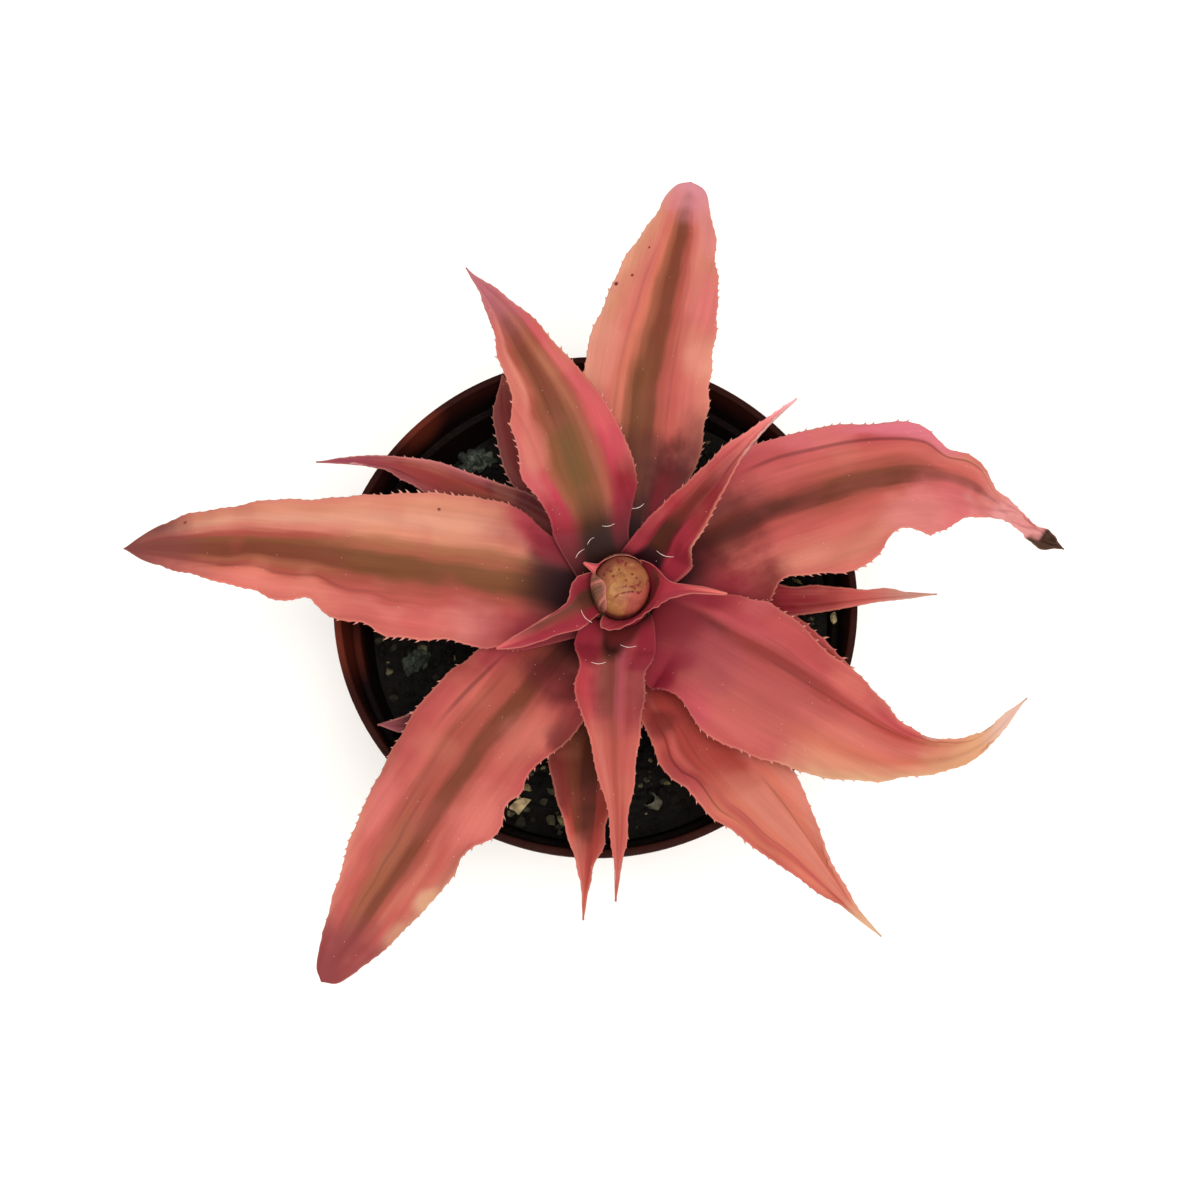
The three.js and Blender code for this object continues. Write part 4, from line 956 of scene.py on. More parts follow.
def shapeLeaf(leaf, seed):
    dice = np.random.default_rng(seed)
    length = np.linalg.norm(np.diff(np.array(leaf["spine"], float), axis=0), axis=1).sum()
    at = np.linspace(0, 100, int(length / blade["step"]) + 1)
    lean = np.linspace(math.pi / 2, -math.pi / 2, blade["columns"])
    across = 0.55 * np.sin(lean) + 0.45 * lean * 2 / math.pi  # closer together near the margins
    along = at * length / 100
    places, squeeze = [], np.zeros((len(at), len(across)))
    for side in (1, -1):  # hollow between the teeth, and a slow wander of the margin
        first, last = leaf["toothFrom"] * length, leaf["toothTo"] * length
        spots = toothPlaces(length, leaf["toothSpacing"], first, last, dice)
        places.append(spots)
        step = np.clip(np.searchsorted(spots, along) - 1, 0, len(spots) - 2)
        share = np.clip((along - spots[step]) / (spots[step + 1] - spots[step]), 0, 1)
        toothed = (along > spots[0]) * (along < spots[-1])
        hollow = blade["hollow"] * leaf["toothSize"] * np.sin(math.pi * share) ** 0.7 * toothed
        slow = blade["wander"] * swell(along, side * 50.0, blade["wanderPitch"], seed + side)
        slow = slow * smoothStep(at, 10, 25) * (1 - smoothStep(at, 85, 100))
        squeeze[:, np.sign(across) == side] = (hollow + slow)[:, None]
    sheet, half = bladeSheet(leaf, at, across, squeeze)

    fadeRoot, fadeTip = smoothStep(at, 4, 22)[:, None], 1 - smoothStep(at, 88, 100)[:, None]
    edge = smoothStep(np.abs(across), 0.45, 1.0)
    wave = swell(along[:, None], np.sign(across) * 40, leaf["rufflePitch"], seed + 5)
    ruffle = leaf["ruffle"] * edge * wave
    channel = -leaf["channel"] * np.exp(-((across / blade["channelWidth"]) ** 2))
    shoulders = blade["shoulders"] * np.cos(across * 2.6 * math.pi) * (1 - edge)
    swells = blade["swells"] * swell(along[:, None], half * 1.5, blade["swellPitch"], seed + 9)
    ribs = blade["ribs"] * swell(along[:, None] * 0.05, half, blade["ribPitch"], seed + 11)
    relief = (ruffle + swells + channel + shoulders + ribs) * fadeRoot * fadeTip
    if leaf["crumple"]:
        dry = smoothStep(at, 100 * leaf["crumple"], 100 * leaf["crumple"] + 10)[:, None]
        coarse = 0.5 * swell(along[:, None], half * 2, 4.5, seed + 21)
        relief = relief + dry * (coarse + 0.2 * swell(along[:, None], half, 2, seed + 22))
    wide = smoothStep(np.abs(half).max(1), 0.2, 2.5)[:, None, None]
    sheet = sheet + gridNormals(sheet) * relief[..., None] * wide

    thin = 0.3 + 0.7 * (1 - np.abs(across) ** 3)
    thickness = leaf["thickness"] * thin * (1 - 0.55 * smoothStep(at, 50, 100))[:, None]
    if leaf["crumple"]:
        thickness = thickness * (1 - 0.5 * dry)
    return sheet, half, thickness, along, at, across, places, length


def finishLeaf(leaf, seed, shape, materials):
    sheet, half, thickness, along, at, across, places, length = shape
    sheet = sheet @ spinOf(math.radians(leaf["facing"]))
    sheet = sheet + np.array([stem["x"] + leaf["shift"][0], stem["y"] + leaf["shift"][1], 0])
    if "hug" in leaf:
        sheet = hugBud(sheet, *leaf["hug"])
    points, normal = slabPoints(sheet, thickness)
    faces, kinds = slabFaces(len(at), len(across))
    leafMap = np.dstack(np.broadcast_arrays((1 - across) / 2, at[:, None] / 100))
    flatMap = np.dstack([half / 10, np.broadcast_to(along[:, None] / 10, half.shape)]) + 3.7 * seed
    outer = np.where(across >= 0, half[:, :1], -half[:, -1:])
    edgeGap = np.maximum(outer - np.abs(half), 0)
    maps = {"leafMap": slabValues(leafMap), "flatMap": slabValues(flatMap)}
    values = {"edgeGap": slabValues(edgeGap[..., None]).ravel(), "tooth": np.zeros(len(points))}
    dice = np.random.default_rng(seed + 77)
    fadeFrom, fadeTo, fadeBy = leaf["toothFade"]
    for margin, inner, spots in zip((0, -1), (2, -3), places):

        def pick(grid):  # a column of the sheet, read at the teeth
            return np.stack([np.interp(spots, along, grid[:, c]) for c in range(grid.shape[1])], 1)

        base = pick(sheet[:, margin])
        outward = unit(base - pick(sheet[:, inner]))
        forward = unit(pick(np.gradient(sheet[:, margin], axis=0)))
        size = leaf["toothSize"] * dice.uniform(0.65, 1.3, len(spots))
        nearRoot = 0.6 + 0.4 * smoothStep(spots / length, 0.1, 0.4)
        size *= nearRoot * (1 - fadeBy * smoothStep(spots / length, fadeFrom, fadeTo))
        teeth, toothFaces, paleAndGlint = growTeeth(base, outward, forward, pick(normal[:, margin]), size, margin < 0)
        faces += [[len(points) + c for c in face] for face in toothFaces]
        kinds += [0] * len(toothFaces)
        points = np.concatenate([points, teeth])
        for label, grid in (("leafMap", leafMap), ("flatMap", flatMap)):
            copies = np.repeat(pick(grid[:, margin]), tooth["points"], axis=0)
            maps[label] = np.concatenate([maps[label], copies])
        values["edgeGap"] = np.concatenate([values["edgeGap"], np.zeros(len(teeth))])
        values["tooth"] = np.concatenate([values["tooth"], paleAndGlint])
    makePiece(
        leaf["name"] + "_blade", points, faces, materials, kinds, maps, values,
        replaces=(leaf["name"],),
    )


def leafSkin(leaf):
    material, surface = newMaterial(leaf["name"] + "_skin", specular=0.1)
    across = useGroup("bandPlace", {"Feather": leaf["feather"]})["Across"]
    folds = 0.0
    for place, start, end, strength in leaf["folds"]:
        feed = {"Place": place, "Start": start, "End": end, "Width": 0.022, "Strength": strength}
        folds = calc("MAXIMUM", folds, useGroup("foldLine", feed)["Mask"])
    inner, outer = colourRamp(across, leaf["inner"]), colourRamp(across, leaf["outer"])
    for place, start, width, length, colour, strength in leaf["patches"]:
        feed = {"Across": place, "Along": start, "Width": width, "Length": length, "Strength": strength}
        mask = useGroup("softPatch", feed)["Mask"]
        if start < leaf["turnover"][1]:
            inner = blend(mask, inner, ink(colour))
        if start > leaf["turnover"][0]:
            outer = blend(mask, outer, ink(colour))
    feed = {
        "Inner": inner, "Outer": outer, "Far": ink(leaf["far"] or leaf["tip"]), "Tip": ink(leaf["tip"]),
        "Base": ink(leaf["base"]), "Base End": leaf["baseEnd"], "Flush And Shade End": leaf["flushEnd"],
        "Blotch": leaf["blotch"], "Folds": folds, "Edge": leaf["edge"],
    }
    for label, key in (("Turn", "turnover"), ("Far", "farFrom"), ("Tip", "tipFrom")):
        feed[label + " Start"], feed[label + " End"] = leaf[key]
    tissue = useGroup("leafTissue", feed)
    dress(surface, tissue["Color"], tissue["Roughness"], tissue["Height"], 0.3, 0.12)
    return material


# The bud and the young leaves that wrap it

bud = {
    "x": 4.95, "y": -3.6, "radiusX": 5.3, "radiusY": 5.8, "base": 101.3, "shoulder": 106.4, "top": 109.9,
    "power": 2.2, "rows": 110, "wallRows": 24, "columns": 220,
    "seam": [(-1.9, -3.6), (-0.56, -2.75), (0.44, -2.4), (1.9, -2.2), (3.2, -2.2), (4.1, -1.3), (5.0, 0.6)],
    "streak": [(-0.6, -1.5), (0.8, -1.25), (2.0, -1.25), (3.0, -0.75), (3.6, -0.2)],
    "specks": [  # place from the bud's axis, then size
        (1.96, 1.23, 0.3), (2.78, 0.57, 0.26), (0.82, 0.0, 0.26), (0.82, -1.21, 0.28), (1.97, -1.27, 0.34),
        (3.07, -0.74, 0.3), (3.45, -0.22, 0.24), (2.06, -2.18, 0.3), (3.06, -2.26, 0.34), (4.1, -4.2, 0.3),
        (0.2, 4.0, 0.34), (0.84, 3.6, 0.3), (-0.54, 3.74, 0.34), (-0.8, 4.27, 0.4), (-2.05, 1.9, 0.36),
        (-3.3, 1.36, 0.4), (-1.55, 0.84, 0.3), (2.44, -1.53, 0.28), (0.7, 3.1, 0.26), (-2.7, 2.3, 0.36),
        (1.2, -2.3, 0.24), (-0.5, 2.2, 0.24),
    ],
}


def budShare(x, y):  # 0 on the bud's axis, 1 on its side
    return np.hypot((x - bud["x"]) / bud["radiusX"], (y - bud["y"]) / bud["radiusY"])


def budTop(share):
    lower = np.clip(share, 0, 1) ** bud["power"]
    return bud["shoulder"] + (bud["top"] - bud["shoulder"]) * (1 - lower) ** (1 / bud["power"])


def hugBud(sheet, gap, start, end):  # a young leaf closes in on the bud below end, and lies on its dome
    x, y, z = sheet[..., 0], sheet[..., 1], sheet[..., 2]
    close = 1 + gap / bud["radiusX"]
    share = budShare(x, y)
    wanted = close + (share - close) * smoothStep(z, start, end)
    x = bud["x"] + (x - bud["x"]) * wanted / share
    y = bud["y"] + (y - bud["y"]) * wanted / share
    z = np.where(wanted < close, np.maximum(z, budTop(wanted / close) + gap), z)
    return np.dstack([x, y, z])


# Young leaves. turn: [percent of length, radius from the stem's axis, degrees to the left and to the right,
# height, flare of the left margin and of the right margin].

youngHabit = {
    "toothSize": 0.35, "baseEnd": 0.3, "flushEnd": 0.0, "turnover": (0.4, 0.6), "tipFrom": (0.75, 1.0),
    "blotch": 0.3, "ruffle": 0.18, "thickness": 0.55, "slot": "leaf_deep_pink", "feather": 0.03, "edge": 0.42,
    "paleBack": False, "rows": 120, "columns": 61,
    "toothSpacing": 1.1, "toothFrom": 0.4, "toothTo": 0.93, "toothShift": 0.4,
}

youngLeaves = [{
    "name": "young_leaf_east", "facing": -13, "keel": 0.4, "length": 22, "hug": (0.35, 103, 107.2),
    "turn": [
        [0, 7.1, 62, 107, 100.2, 0, 0], [14, 6.9, 66, 107, 102, -1.2, 1.2], [30, 6.9, 66, 106, 104, -2, 3.2],
        [46, 7.2, 58, 98, 106.2, -2.2, 3.6], [55, 7.4, 36, 78, 107, -1.3, 2.4],
        [62, 7.9, 19, 55, 107.5, -0.6, 1], [68, 8.6, 9, 38, 108.1, -0.2, 0.3], [76, 9.8, 3, 18, 108.7, 0, 0],
        [84, 12.3, 2.4, 7.5, 109.4, 0, 0], [92, 15.6, 2.1, 3.4, 110, 0, 0], [100, 20, 0.7, 0.7, 110.5, 0, 0],
    ],
    "inner": {0: "rose", 0.15: "crimson", 0.4: "wine", 0.7: "crimson", 0.9: "rose", 1: "pink"},
    "outer": {0: "rose", 0.3: "crimson", 0.6: "crimson", 1: "rose"}, "tip": "coral", "base": (136, 42, 50),
    # The dark olive-brown patch is painted shade inside the cup, beside the bud.
    "patches": [(0.3, 0.47, 0.6, 0.1, (104, 54, 42), 0.85)],
}, {
    "name": "young_leaf_southwest", "facing": 213, "keel": 0.6, "length": 29, "hug": (0.5, 102.5, 106.2),
    "turn": [
        [0, 7, 20, 77, 99.5, 0, 0], [18, 7.2, 22, 66, 102.3, 0.6, 0], [32, 8.2, 22, 46, 104.8, 1.4, -0.6],
        [41, 9.3, 22, 27, 106.2, 1.2, 0], [48, 10.8, 22, 10, 107, 0.8, 0], [55, 12.8, 20, 4.5, 107.6, 0, 0],
        [65, 16.2, 13, 2.2, 108.7, 0, 0], [80, 20.5, 8.5, 1, 109.8, 0, 0], [91, 24.2, 4.6, 0.7, 110.3, 0, 0],
        [100, 27.6, 0.5, 0.5, 110.5, 0, 0],
    ],
    "inner": {
        0: (172, 56, 66), 0.2: (150, 50, 54), 0.38: (108, 60, 48), 0.6: (92, 56, 42), 0.82: (124, 58, 54),
        1: "rose",
    },
    "outer": {
        0: (186, 68, 76), 0.25: (160, 62, 64), 0.5: (124, 68, 58), 0.72: (144, 84, 78), 1: (184, 104, 98),
    },
    "tip": "rose", "base": (92, 56, 40),
}, {
    "name": "young_leaf_northwest", "facing": 152, "keel": 0.0, "length": 12, "shift": (-0.05, -1.6),
    "thickness": 0.4, "hug": (0.25, 105.6, 107.4), "ruffle": 0.06, "paleBack": True,
    "turn": [
        [0, 5.7, 62, 92, 101.3, 0, 0], [30, 5.7, 74, 98, 104, 0, 0], [50, 5.7, 88, 104, 106, 0, 0],
        [62, 5.7, 84, 100, 107.2, -0.9, 0], [72, 5.65, 70, 80, 107.8, -1.7, -0.1],
        [80, 5.6, 52, 55, 108.2, -2.4, -0.2], [87, 5.6, 30, 30, 108.4, -2.3, -0.3],
        [93, 6, 14, 12, 108.6, -1.2, -0.2], [97, 6.9, 6, 5, 108.8, -0.3, 0],
        [100, 8.1, 1.5, 1.5, 108.9, 0, 0],
    ],
    "inner": {0: "coral", 0.08: "rosyBrown", 0.25: (140, 96, 66), 0.6: "dusk", 1: "mauve"},
    "outer": {0: (206, 130, 118), 0.14: "rose", 0.4: "rosyBrown", 0.7: "dusk", 1: "mauve"}, "tip": "rose",
    "toothSize": 0.12, "base": (120, 84, 60),
}]


def shapeYoungLeaf(leaf, seed):
    at = np.linspace(0, 100, leaf["rows"])
    across = np.linspace(1, -1, leaf["columns"])
    columns = curveAt(leaf["turn"], at).T[..., None]
    radius, left, right, up, flareLeft, flareRight = columns
    spread = np.where(across >= 0, left, right)
    angle = np.radians(across * np.maximum(spread, 0.5))
    half = radius * angle
    along = at * leaf["length"] / 100
    reach = radius + np.where(across >= 0, flareLeft, flareRight) * across ** 2
    rise = smoothStep(at, 20, 45)[:, None] * (1 - smoothStep(at, 85, 100)[:, None])
    lip = rise * np.abs(across) ** 5
    reach = reach + leaf["ruffle"] * lip * (1 + swell(along[:, None] + half, half * 0.3, 3.2, seed + 4))
    reach = reach + 0.08 * swell(along[:, None], half, 6, seed)
    fold = smoothStep(at, 45, 70)[:, None] * (1 - at / 100)[:, None] * np.abs(across) ** 1.4
    wave = swell(half, along[:, None], 2.6, seed + 6)
    height = up + leaf["keel"] * fold + leaf["ruffle"] * 0.8 * lip * wave
    sheet = np.dstack([reach * np.cos(angle), reach * np.sin(angle), height])
    thin = 0.3 + 0.7 * (1 - np.abs(across) ** 4)
    thickness = leaf["thickness"] * thin * (1 - 0.5 * (at / 100) ** 2)[:, None]
    first, last = leaf["toothFrom"] * leaf["length"], leaf["toothTo"] * leaf["length"]
    spots = toothPlaces(leaf["length"], leaf["toothSpacing"], first, last, np.random.default_rng(seed))
    return sheet, half, thickness, along, at, across, [spots, spots + leaf["toothShift"]], leaf["length"]


def growLeaves():
    makeScurfSpecks()
    makeFoldLine()
    makeLeafTissue()
    makeBandPlace()
    makeSoftPatch()
    back = makeLeafBackMaterial()
    for number, chosen in enumerate(leaves):
        leaf = {**leafHabit, **chosen}
        finishLeaf(leaf, number + 1, shapeLeaf(leaf, 10 * number + 3), [leafSkin(leaf), back])
    # Young undersides in dark wine: their own colour, deepened to paint the shade on the outside of the cup.
    stops = {0.3: "maroon", 0.55: "wine", 0.75: "crimson"}
    youngBack = makeYoungBackMaterial("youngLeafUnderside", stops)
    stops = {0.3: (84, 62, 46), 0.5: (122, 76, 60), 0.7: (176, 104, 94)}
    paleBack = makeYoungBackMaterial("youngLeafPaleUnderside", stops)
    for number, chosen in enumerate(youngLeaves):
        leaf = {**leafHabit, **youngHabit, **chosen}
        under = paleBack if leaf["paleBack"] else youngBack
        finishLeaf(leaf, number + 31, shapeYoungLeaf(leaf, 10 * number + 503), [leafSkin(leaf), under])


placeCamera()
lightStudio()
print("camera and lights placed")
growLeaves()
print("leaves grown")

# Loose white hairs that lie on the leaves near the heart

hair = {"radius": 0.06, "level": 107.0, "lean": 0.311, "sides": 6, "steps": 24, "bow": -0.12, "slope": 0.25}
hairs = [  # both ends, as they lie in a plane at the level above, seen along the lean of the view
    ((-0.24, 6.19), (-1.57, 4.77)), ((-2.14, 3.76), (-3.85, 1.95)), ((11.83, 3.46), (15.14, 1.85)),
    ((-2.67, -8.76), (-0.6, -11.01)), ((4.74, -15.57), (7.89, -15.86)), ((-0.77, -19.04), (2.01, -18.85)),
    ((7.12, 9.94), (9.53, 11.27)), ((1.28, 8.62), (3.77, 9.03)),
]


def hairMaterial():
    material, surface = newMaterial("whiteHair", specular=0.3, roughness=0.6)
    tone = noiseOf(objectPlace(), 1600.0, 2.0, 0.6, flat=False)
    connect(colourRamp(tone, {0.3: (214, 176, 166), 0.6: (240, 224, 216)}), surface["Base Color"])
    return material


def bladeTop(targets, x, y):  # height of the topmost blade at a place, or None
    tops = []
    for target in targets:
        hit, spot, _, _ = target.ray_cast(Vector((x * mm, y * mm, 0.14)), Vector((0, 0, -1)))
        if hit:
            tops.append(spot.z / mm)
    return max(tops) if tops else None


def layHairs():
    points, faces = [], []
    targets = [bpy.data.objects[leaf["name"] + "_blade"] for leaf in leaves + youngLeaves]
    turn = ringTurns(hair["sides"])[:, None]
    share = np.linspace(0, 1, hair["steps"])
    for first, last in hairs:
        first, last = np.array(first), np.array(last)
        middle, height = (first + last) / 2, hair["level"]
        for _ in range(12):  # the height at which the view meets the blade
            found = bladeTop(targets, middle[0], middle[1] + (hair["level"] - height) * hair["lean"])
            height = 0.5 * height + 0.5 * (found if found else height)
        length = np.linalg.norm(last - first)
        ahead = (last - first) / length
        aside = np.array([-ahead[1], ahead[0]])
        bow = hair["bow"] * length * np.sin(share * math.pi)[:, None]
        plan = first + share[:, None] * length * ahead + bow * aside
        plan[:, 1] += (hair["level"] - height) * hair["lean"]
        found = [bladeTop(targets, x, y) for x, y in plan]
        heights = np.array([height if top is None else top for top in found])
        slope = np.clip(np.polyfit(share * length, heights, 1)[0], -hair["slope"], hair["slope"])
        line = slope * share * length
        centre = np.column_stack([plan, line + np.max(heights - line) + hair["radius"]])
        thin = hair["radius"] * (0.35 + 0.65 * np.sin(np.clip(share, 0.04, 0.96) * math.pi) ** 0.5)
        ring = np.cos(turn) * np.array([*aside, 0]) + np.sin(turn) * np.array([0, 0, 1])
        faces += tubeFaces(hair["steps"], hair["sides"], len(points))
        points += (centre[:, None, :] + ring * thin[:, None, None]).reshape(-1, 3).tolist()
    makePiece("loose_hairs", points, faces, [hairMaterial()])


layHairs()
print("hairs laid")

# The bud

def budMaterial():
    material, surface = newMaterial("budScale", specular=0.25)
    middle = (bud["x"] * mm, bud["y"] * mm, 0.105)
    local = vectorCalc("SUBTRACT", objectPlace(), middle)[0]
    parts = split(local)
    tone = noiseOf(local, 420.0, 3.0, 0.6, 0.4, flat=False)
    body = colourRamp(tone, {0.3: (120, 76, 40), 0.5: (145, 94, 52), 0.7: (168, 118, 70)})
    lower = attributeOf("bract")
    eastward = fade(parts["X"] + lower * 0.0015, 0.0, 0.004)
    body = blend(eastward * (0.25 + lower * 0.7), body, ink((152, 68, 58)))
    mottle = noiseOf(local, 330.0, 3.0, 0.6, 0.8, flat=False)
    body = blend(fade(mottle, 0.44, 0.62, 0.0, 0.5), body, ink((126, 48, 40)))
    shade = fade(parts["X"] - parts["Y"] * 0.7, -0.005, -0.0025, 1.0, 0.0)
    body = blend(shade * 0.8, body, ink((94, 46, 34)))
    # Painted shade: darker brown over the north side of the dome.
    top = fade(parts["Y"] - parts["X"] * 0.5, 0.0022, 0.0045)
    body = blend(top * 0.6, body, ink((112, 54, 38)))
    fine = noiseOf(scaleVector(local, (1.0, 0.5, 1.0)), 1500.0, 3.0, 0.65, 1.0, flat=False)
    broken = attributeOf("seam") * fade(fine, 0.4, 0.55)
    veins = noiseOf(scaleVector(local, (1.6, 0.5, 0.5)), 600.0, 3.0, 0.6, 1.5, flat=False)
    onTop = fade(parts["Z"], 0.0008, 0.002)
    veined = calc("MAXIMUM", top, shade) * fade(veins, 0.52, 0.64, 0.0, 0.8)
    broken = calc("MAXIMUM", broken, veined * onTop)
    stain = calc("MAXIMUM", fade(attributeOf("speck") + fine * 0.5, 0.55, 0.8), broken)
    body = blend(stain * 0.85, body, ink((108, 26, 26)))
    lines = noiseOf(scaleVector(local, (1.0, 1.0, 0.08)), 900.0, 3.0, 0.6, flat=False)
    sheath = colourRamp(lines, {0.3: "maroon", 0.5: (112, 44, 46), 0.7: (142, 62, 58)})
    body = blend(fade(parts["Z"], 0.0002, 0.0016, 0.9, 0.0), body, sheath)
    dress(surface, body, 0.4 + tone * 0.2, tone + fine * 0.3, 0.4, 0.2)
    return material


def growBud():
    rows, wallRows, columns = bud["rows"], bud["wallRows"], bud["columns"]
    turn = ringTurns(columns)
    lean = np.linspace(0, 0.997, rows - wallRows) * math.pi / 2
    wall = 0.94 + 0.06 * np.linspace(0, 1, wallRows, endpoint=False) ** 0.7
    share = np.concatenate([wall, np.cos(lean) ** 0.9])[:, None]
    side = np.linspace(bud["base"], bud["shoulder"], wallRows, endpoint=False)
    z = np.concatenate([side, budTop(share[wallRows:, 0])])[:, None]
    x, y = bud["radiusX"] * np.cos(turn) * share, bud["radiusY"] * np.sin(turn) * share
    onTop = smoothStep(z, bud["shoulder"] - 1, bud["shoulder"] + 0.6)
    seam, streak = np.array(bud["seam"]), np.array(bud["streak"])
    below = np.interp(x, seam[:, 0], seam[:, 1]) - y  # mm inside the bract that laps over at the front
    lap = smoothStep(below, -0.12, 0.12)
    rise = 0.14 * lap * (1 - 0.6 * smoothStep(below, 0.4, 3)) + 0.1 * swell(x, y, 4.2, 71) * (1 - share**4)
    puff = 1 + 0.012 * lap + 0.01 * swell(x, y, 3.4, 72)
    speck = np.zeros_like(x)
    for sx, sy, size in bud["specks"]:
        speck = np.maximum(speck, np.exp(-(((x - sx) ** 2 + (y - sy) ** 2) / size**2)) * onTop)
    line = np.exp(-((below / 0.22) ** 2)) * smoothStep(x, -2.4, -1.4) * onTop
    along = np.interp(x, streak[:, 0], streak[:, 1]) - y
    ends = smoothStep(x, -0.8, 0.2) * smoothStep(-x, -3.8, -3.4)
    line = np.maximum(line, np.exp(-((along / 0.18) ** 2)) * ends * onTop)
    points = np.dstack([bud["x"] + x * puff, bud["y"] + y * puff, z + rise * onTop]).reshape(-1, 3)
    makePiece(
        "crown_bud_scales", points, tubeFaces(rows, columns), [budMaterial()],
        values={"bract": lap, "seam": line, "speck": speck}, replaces=("crown_bud",),
    )


growBud()
print("bud grown")

# The stem

def stemMaterial():
    material, surface = newMaterial("stemBark")
    rings = noiseOf(scaleVector(objectPlace(), (60.0, 60.0, 900.0)), 1.0, 3.0, 0.6, flat=False)
    body = colourRamp(rings, {0.3: (58, 36, 26), 0.5: (112, 74, 50), 0.7: (158, 116, 84)})
    dress(surface, body, 0.6 + rings * 0.25, rings, 0.6, 0.4)
    return material


def growStem():
    rows, columns = stem["rows"], stem["columns"]
    turn = ringTurns(columns)
    share = np.linspace(0, 1, rows)[:, None]
    height = stem["bottom"] + clearance + share * (stem["top"] - stem["bottom"] - clearance)
    taper = smoothStep(height, stem["bottom"], stem["shoulder"])
    radius = stem["footRadius"] + (stem["shoulderRadius"] - stem["footRadius"]) * taper
    narrower = stem["shoulderRadius"] - stem["topRadius"]
    radius = radius - narrower * smoothStep(height, stem["shoulder"], stem["top"])
    scar = np.abs((height / 2.1 + 0.35 * np.sin(turn + height)) % 1 - 0.5) * 2
    radius = radius - clearance + 0.22 * scar ** 3 + 0.08 * swell(height, turn * 6, 4, 88)
    x, y = stem["x"] + radius * np.cos(turn), stem["y"] + radius * np.sin(turn)
    points = np.dstack([x, y, np.broadcast_to(height, radius.shape)]).reshape(-1, 3)
    faces = tubeFaces(rows, columns)
    makePiece("stem_bark", points, faces, [stemMaterial()], replaces=("stem",))


growStem()
print("stem grown")

# The pot

pot = {
    "height": 90.0, "rim": 52.5, "lip": 1.6, "overhang": 0.5, "band": 10.0, "step": 1.6,
    "bodyTop": 49.4, "base": 37.5, "wall": 1.0, "floor": 1.6,
    "holes": 6, "holeRadius": 3.5, "holeCircle": 28.0, "segments": 192,
    "wornSpots": [  # painted pools of light where the key light falls on the inner wall: place and reach in metres, strength
        ((-0.051, -0.009, 0.0875), 0.012, 0.9), ((-0.0365, 0.0365, 0.089), 0.008, 0.8),
    ],
}


def bodyRadius(height):
    return pot["base"] + (pot["bodyTop"] - pot["base"]) * height / (pot["height"] - pot["band"])


def softened(profile, radius):  # a profile with its corners rounded
    corners = np.array(profile, float)
    points = [corners[0]]
    for before, corner, after in zip(corners[:-2], corners[1:-1], corners[2:]):
        back, ahead = before - corner, after - corner
        cut = min(radius, 0.4 * np.linalg.norm(back), 0.4 * np.linalg.norm(ahead))
        start = corner + back / np.linalg.norm(back) * cut
        end = corner + ahead / np.linalg.norm(ahead) * cut
        for t in (0, 0.25, 0.5, 0.75, 1):
            points.append((1 - t) ** 2 * start + 2 * t * (1 - t) * corner + t * t * end)
    return np.array(points + [corners[-1]])


def potMaterial():
    material, surface = newMaterial("potPlastic", specular=0.06)
    place = objectPlace()
    height = split(place)["Z"]
    streaks = noiseOf(scaleVector(place, (90.0, 90.0, 60.0)), 1.0, 3.0, 0.6, flat=False)
    dust = noiseOf(place, 900.0, 4.0, 0.7, flat=False)
    stains = noiseOf(place, 70.0, 3.0, 0.6, flat=False)
    body = colourRamp(streaks, {0.3: (42, 15, 11), 0.55: (48, 17, 12), 0.75: (54, 21, 15)})
    body = blend(fade(stains, 0.5, 0.72, 0.0, 0.3), body, ink((34, 13, 10)))
    body = blend(fade(dust, 0.6, 0.75) * fade(stains, 0.35, 0.6, 0.0, 0.3), body, ink((92, 62, 48)))
    # Painted shade: the inside of the pot below the lip, ledge included, is painted near black.
    out = vectorCalc("LENGTH", scaleVector(place, (1.0, 1.0, 0.0)))["Value"]
    wallSlope = (pot["bodyTop"] - pot["base"]) / (pot["height"] - pot["band"])
    wallMiddle = calc("MULTIPLY_ADD", height, wallSlope, (pot["base"] - pot["wall"] / 2) * mm)
    inBody = fade(out - wallMiddle, -0.0002, 0.0002, 1.0, 0.0)
    inBand = fade(out, 0.0505, 0.0512, 1.0, 0.0) * fade(height, 0.0825, 0.0893, 1.0, 0.3)
    above = fade(height, 0.0803, 0.0805)
    deep = inBody * (1.0 - above) + inBand * above
    body = blend(deep * 0.96, body, ink((8, 3, 3)))
    body = blend(fade(height, 0.0886, 0.0896, 0.0, 0.55), body, ink((34, 12, 9)))
    # Painted light: lit reddish patches on the inner wall.
    for spot, reach, strength in pot["wornSpots"]:
        away = vectorCalc("DISTANCE", place, spot)["Value"]
        body = blend(fade(away, 0.2 * reach, reach, strength, 0.0), body, ink((92, 36, 24)))
    dress(surface, body, 0.55 + fade(dust, 0.35, 0.7) * 0.25, streaks + dust * 0.4, 0.25, 0.1)
    return material


def turnProfile(profile, segments):
    ring = np.linspace(0, 2 * math.pi, segments, endpoint=False)
    points, rows = [], []
    for radius, height in profile:
        if radius < 1e-6:
            rows.append([len(points)] * segments)
            points.append((0, 0, height))
        else:
            rows.append(list(range(len(points), len(points) + segments)))
            points += [(radius * math.cos(a), radius * math.sin(a), height) for a in ring]
    faces = []
    for low, high in zip(rows[:-1], rows[1:]):
        for j in range(segments):
            k = (j + 1) % segments
            corners = [low[j], low[k], high[k], high[j]]
            faces.append(list(dict.fromkeys(corners)))
    return np.array(points), faces


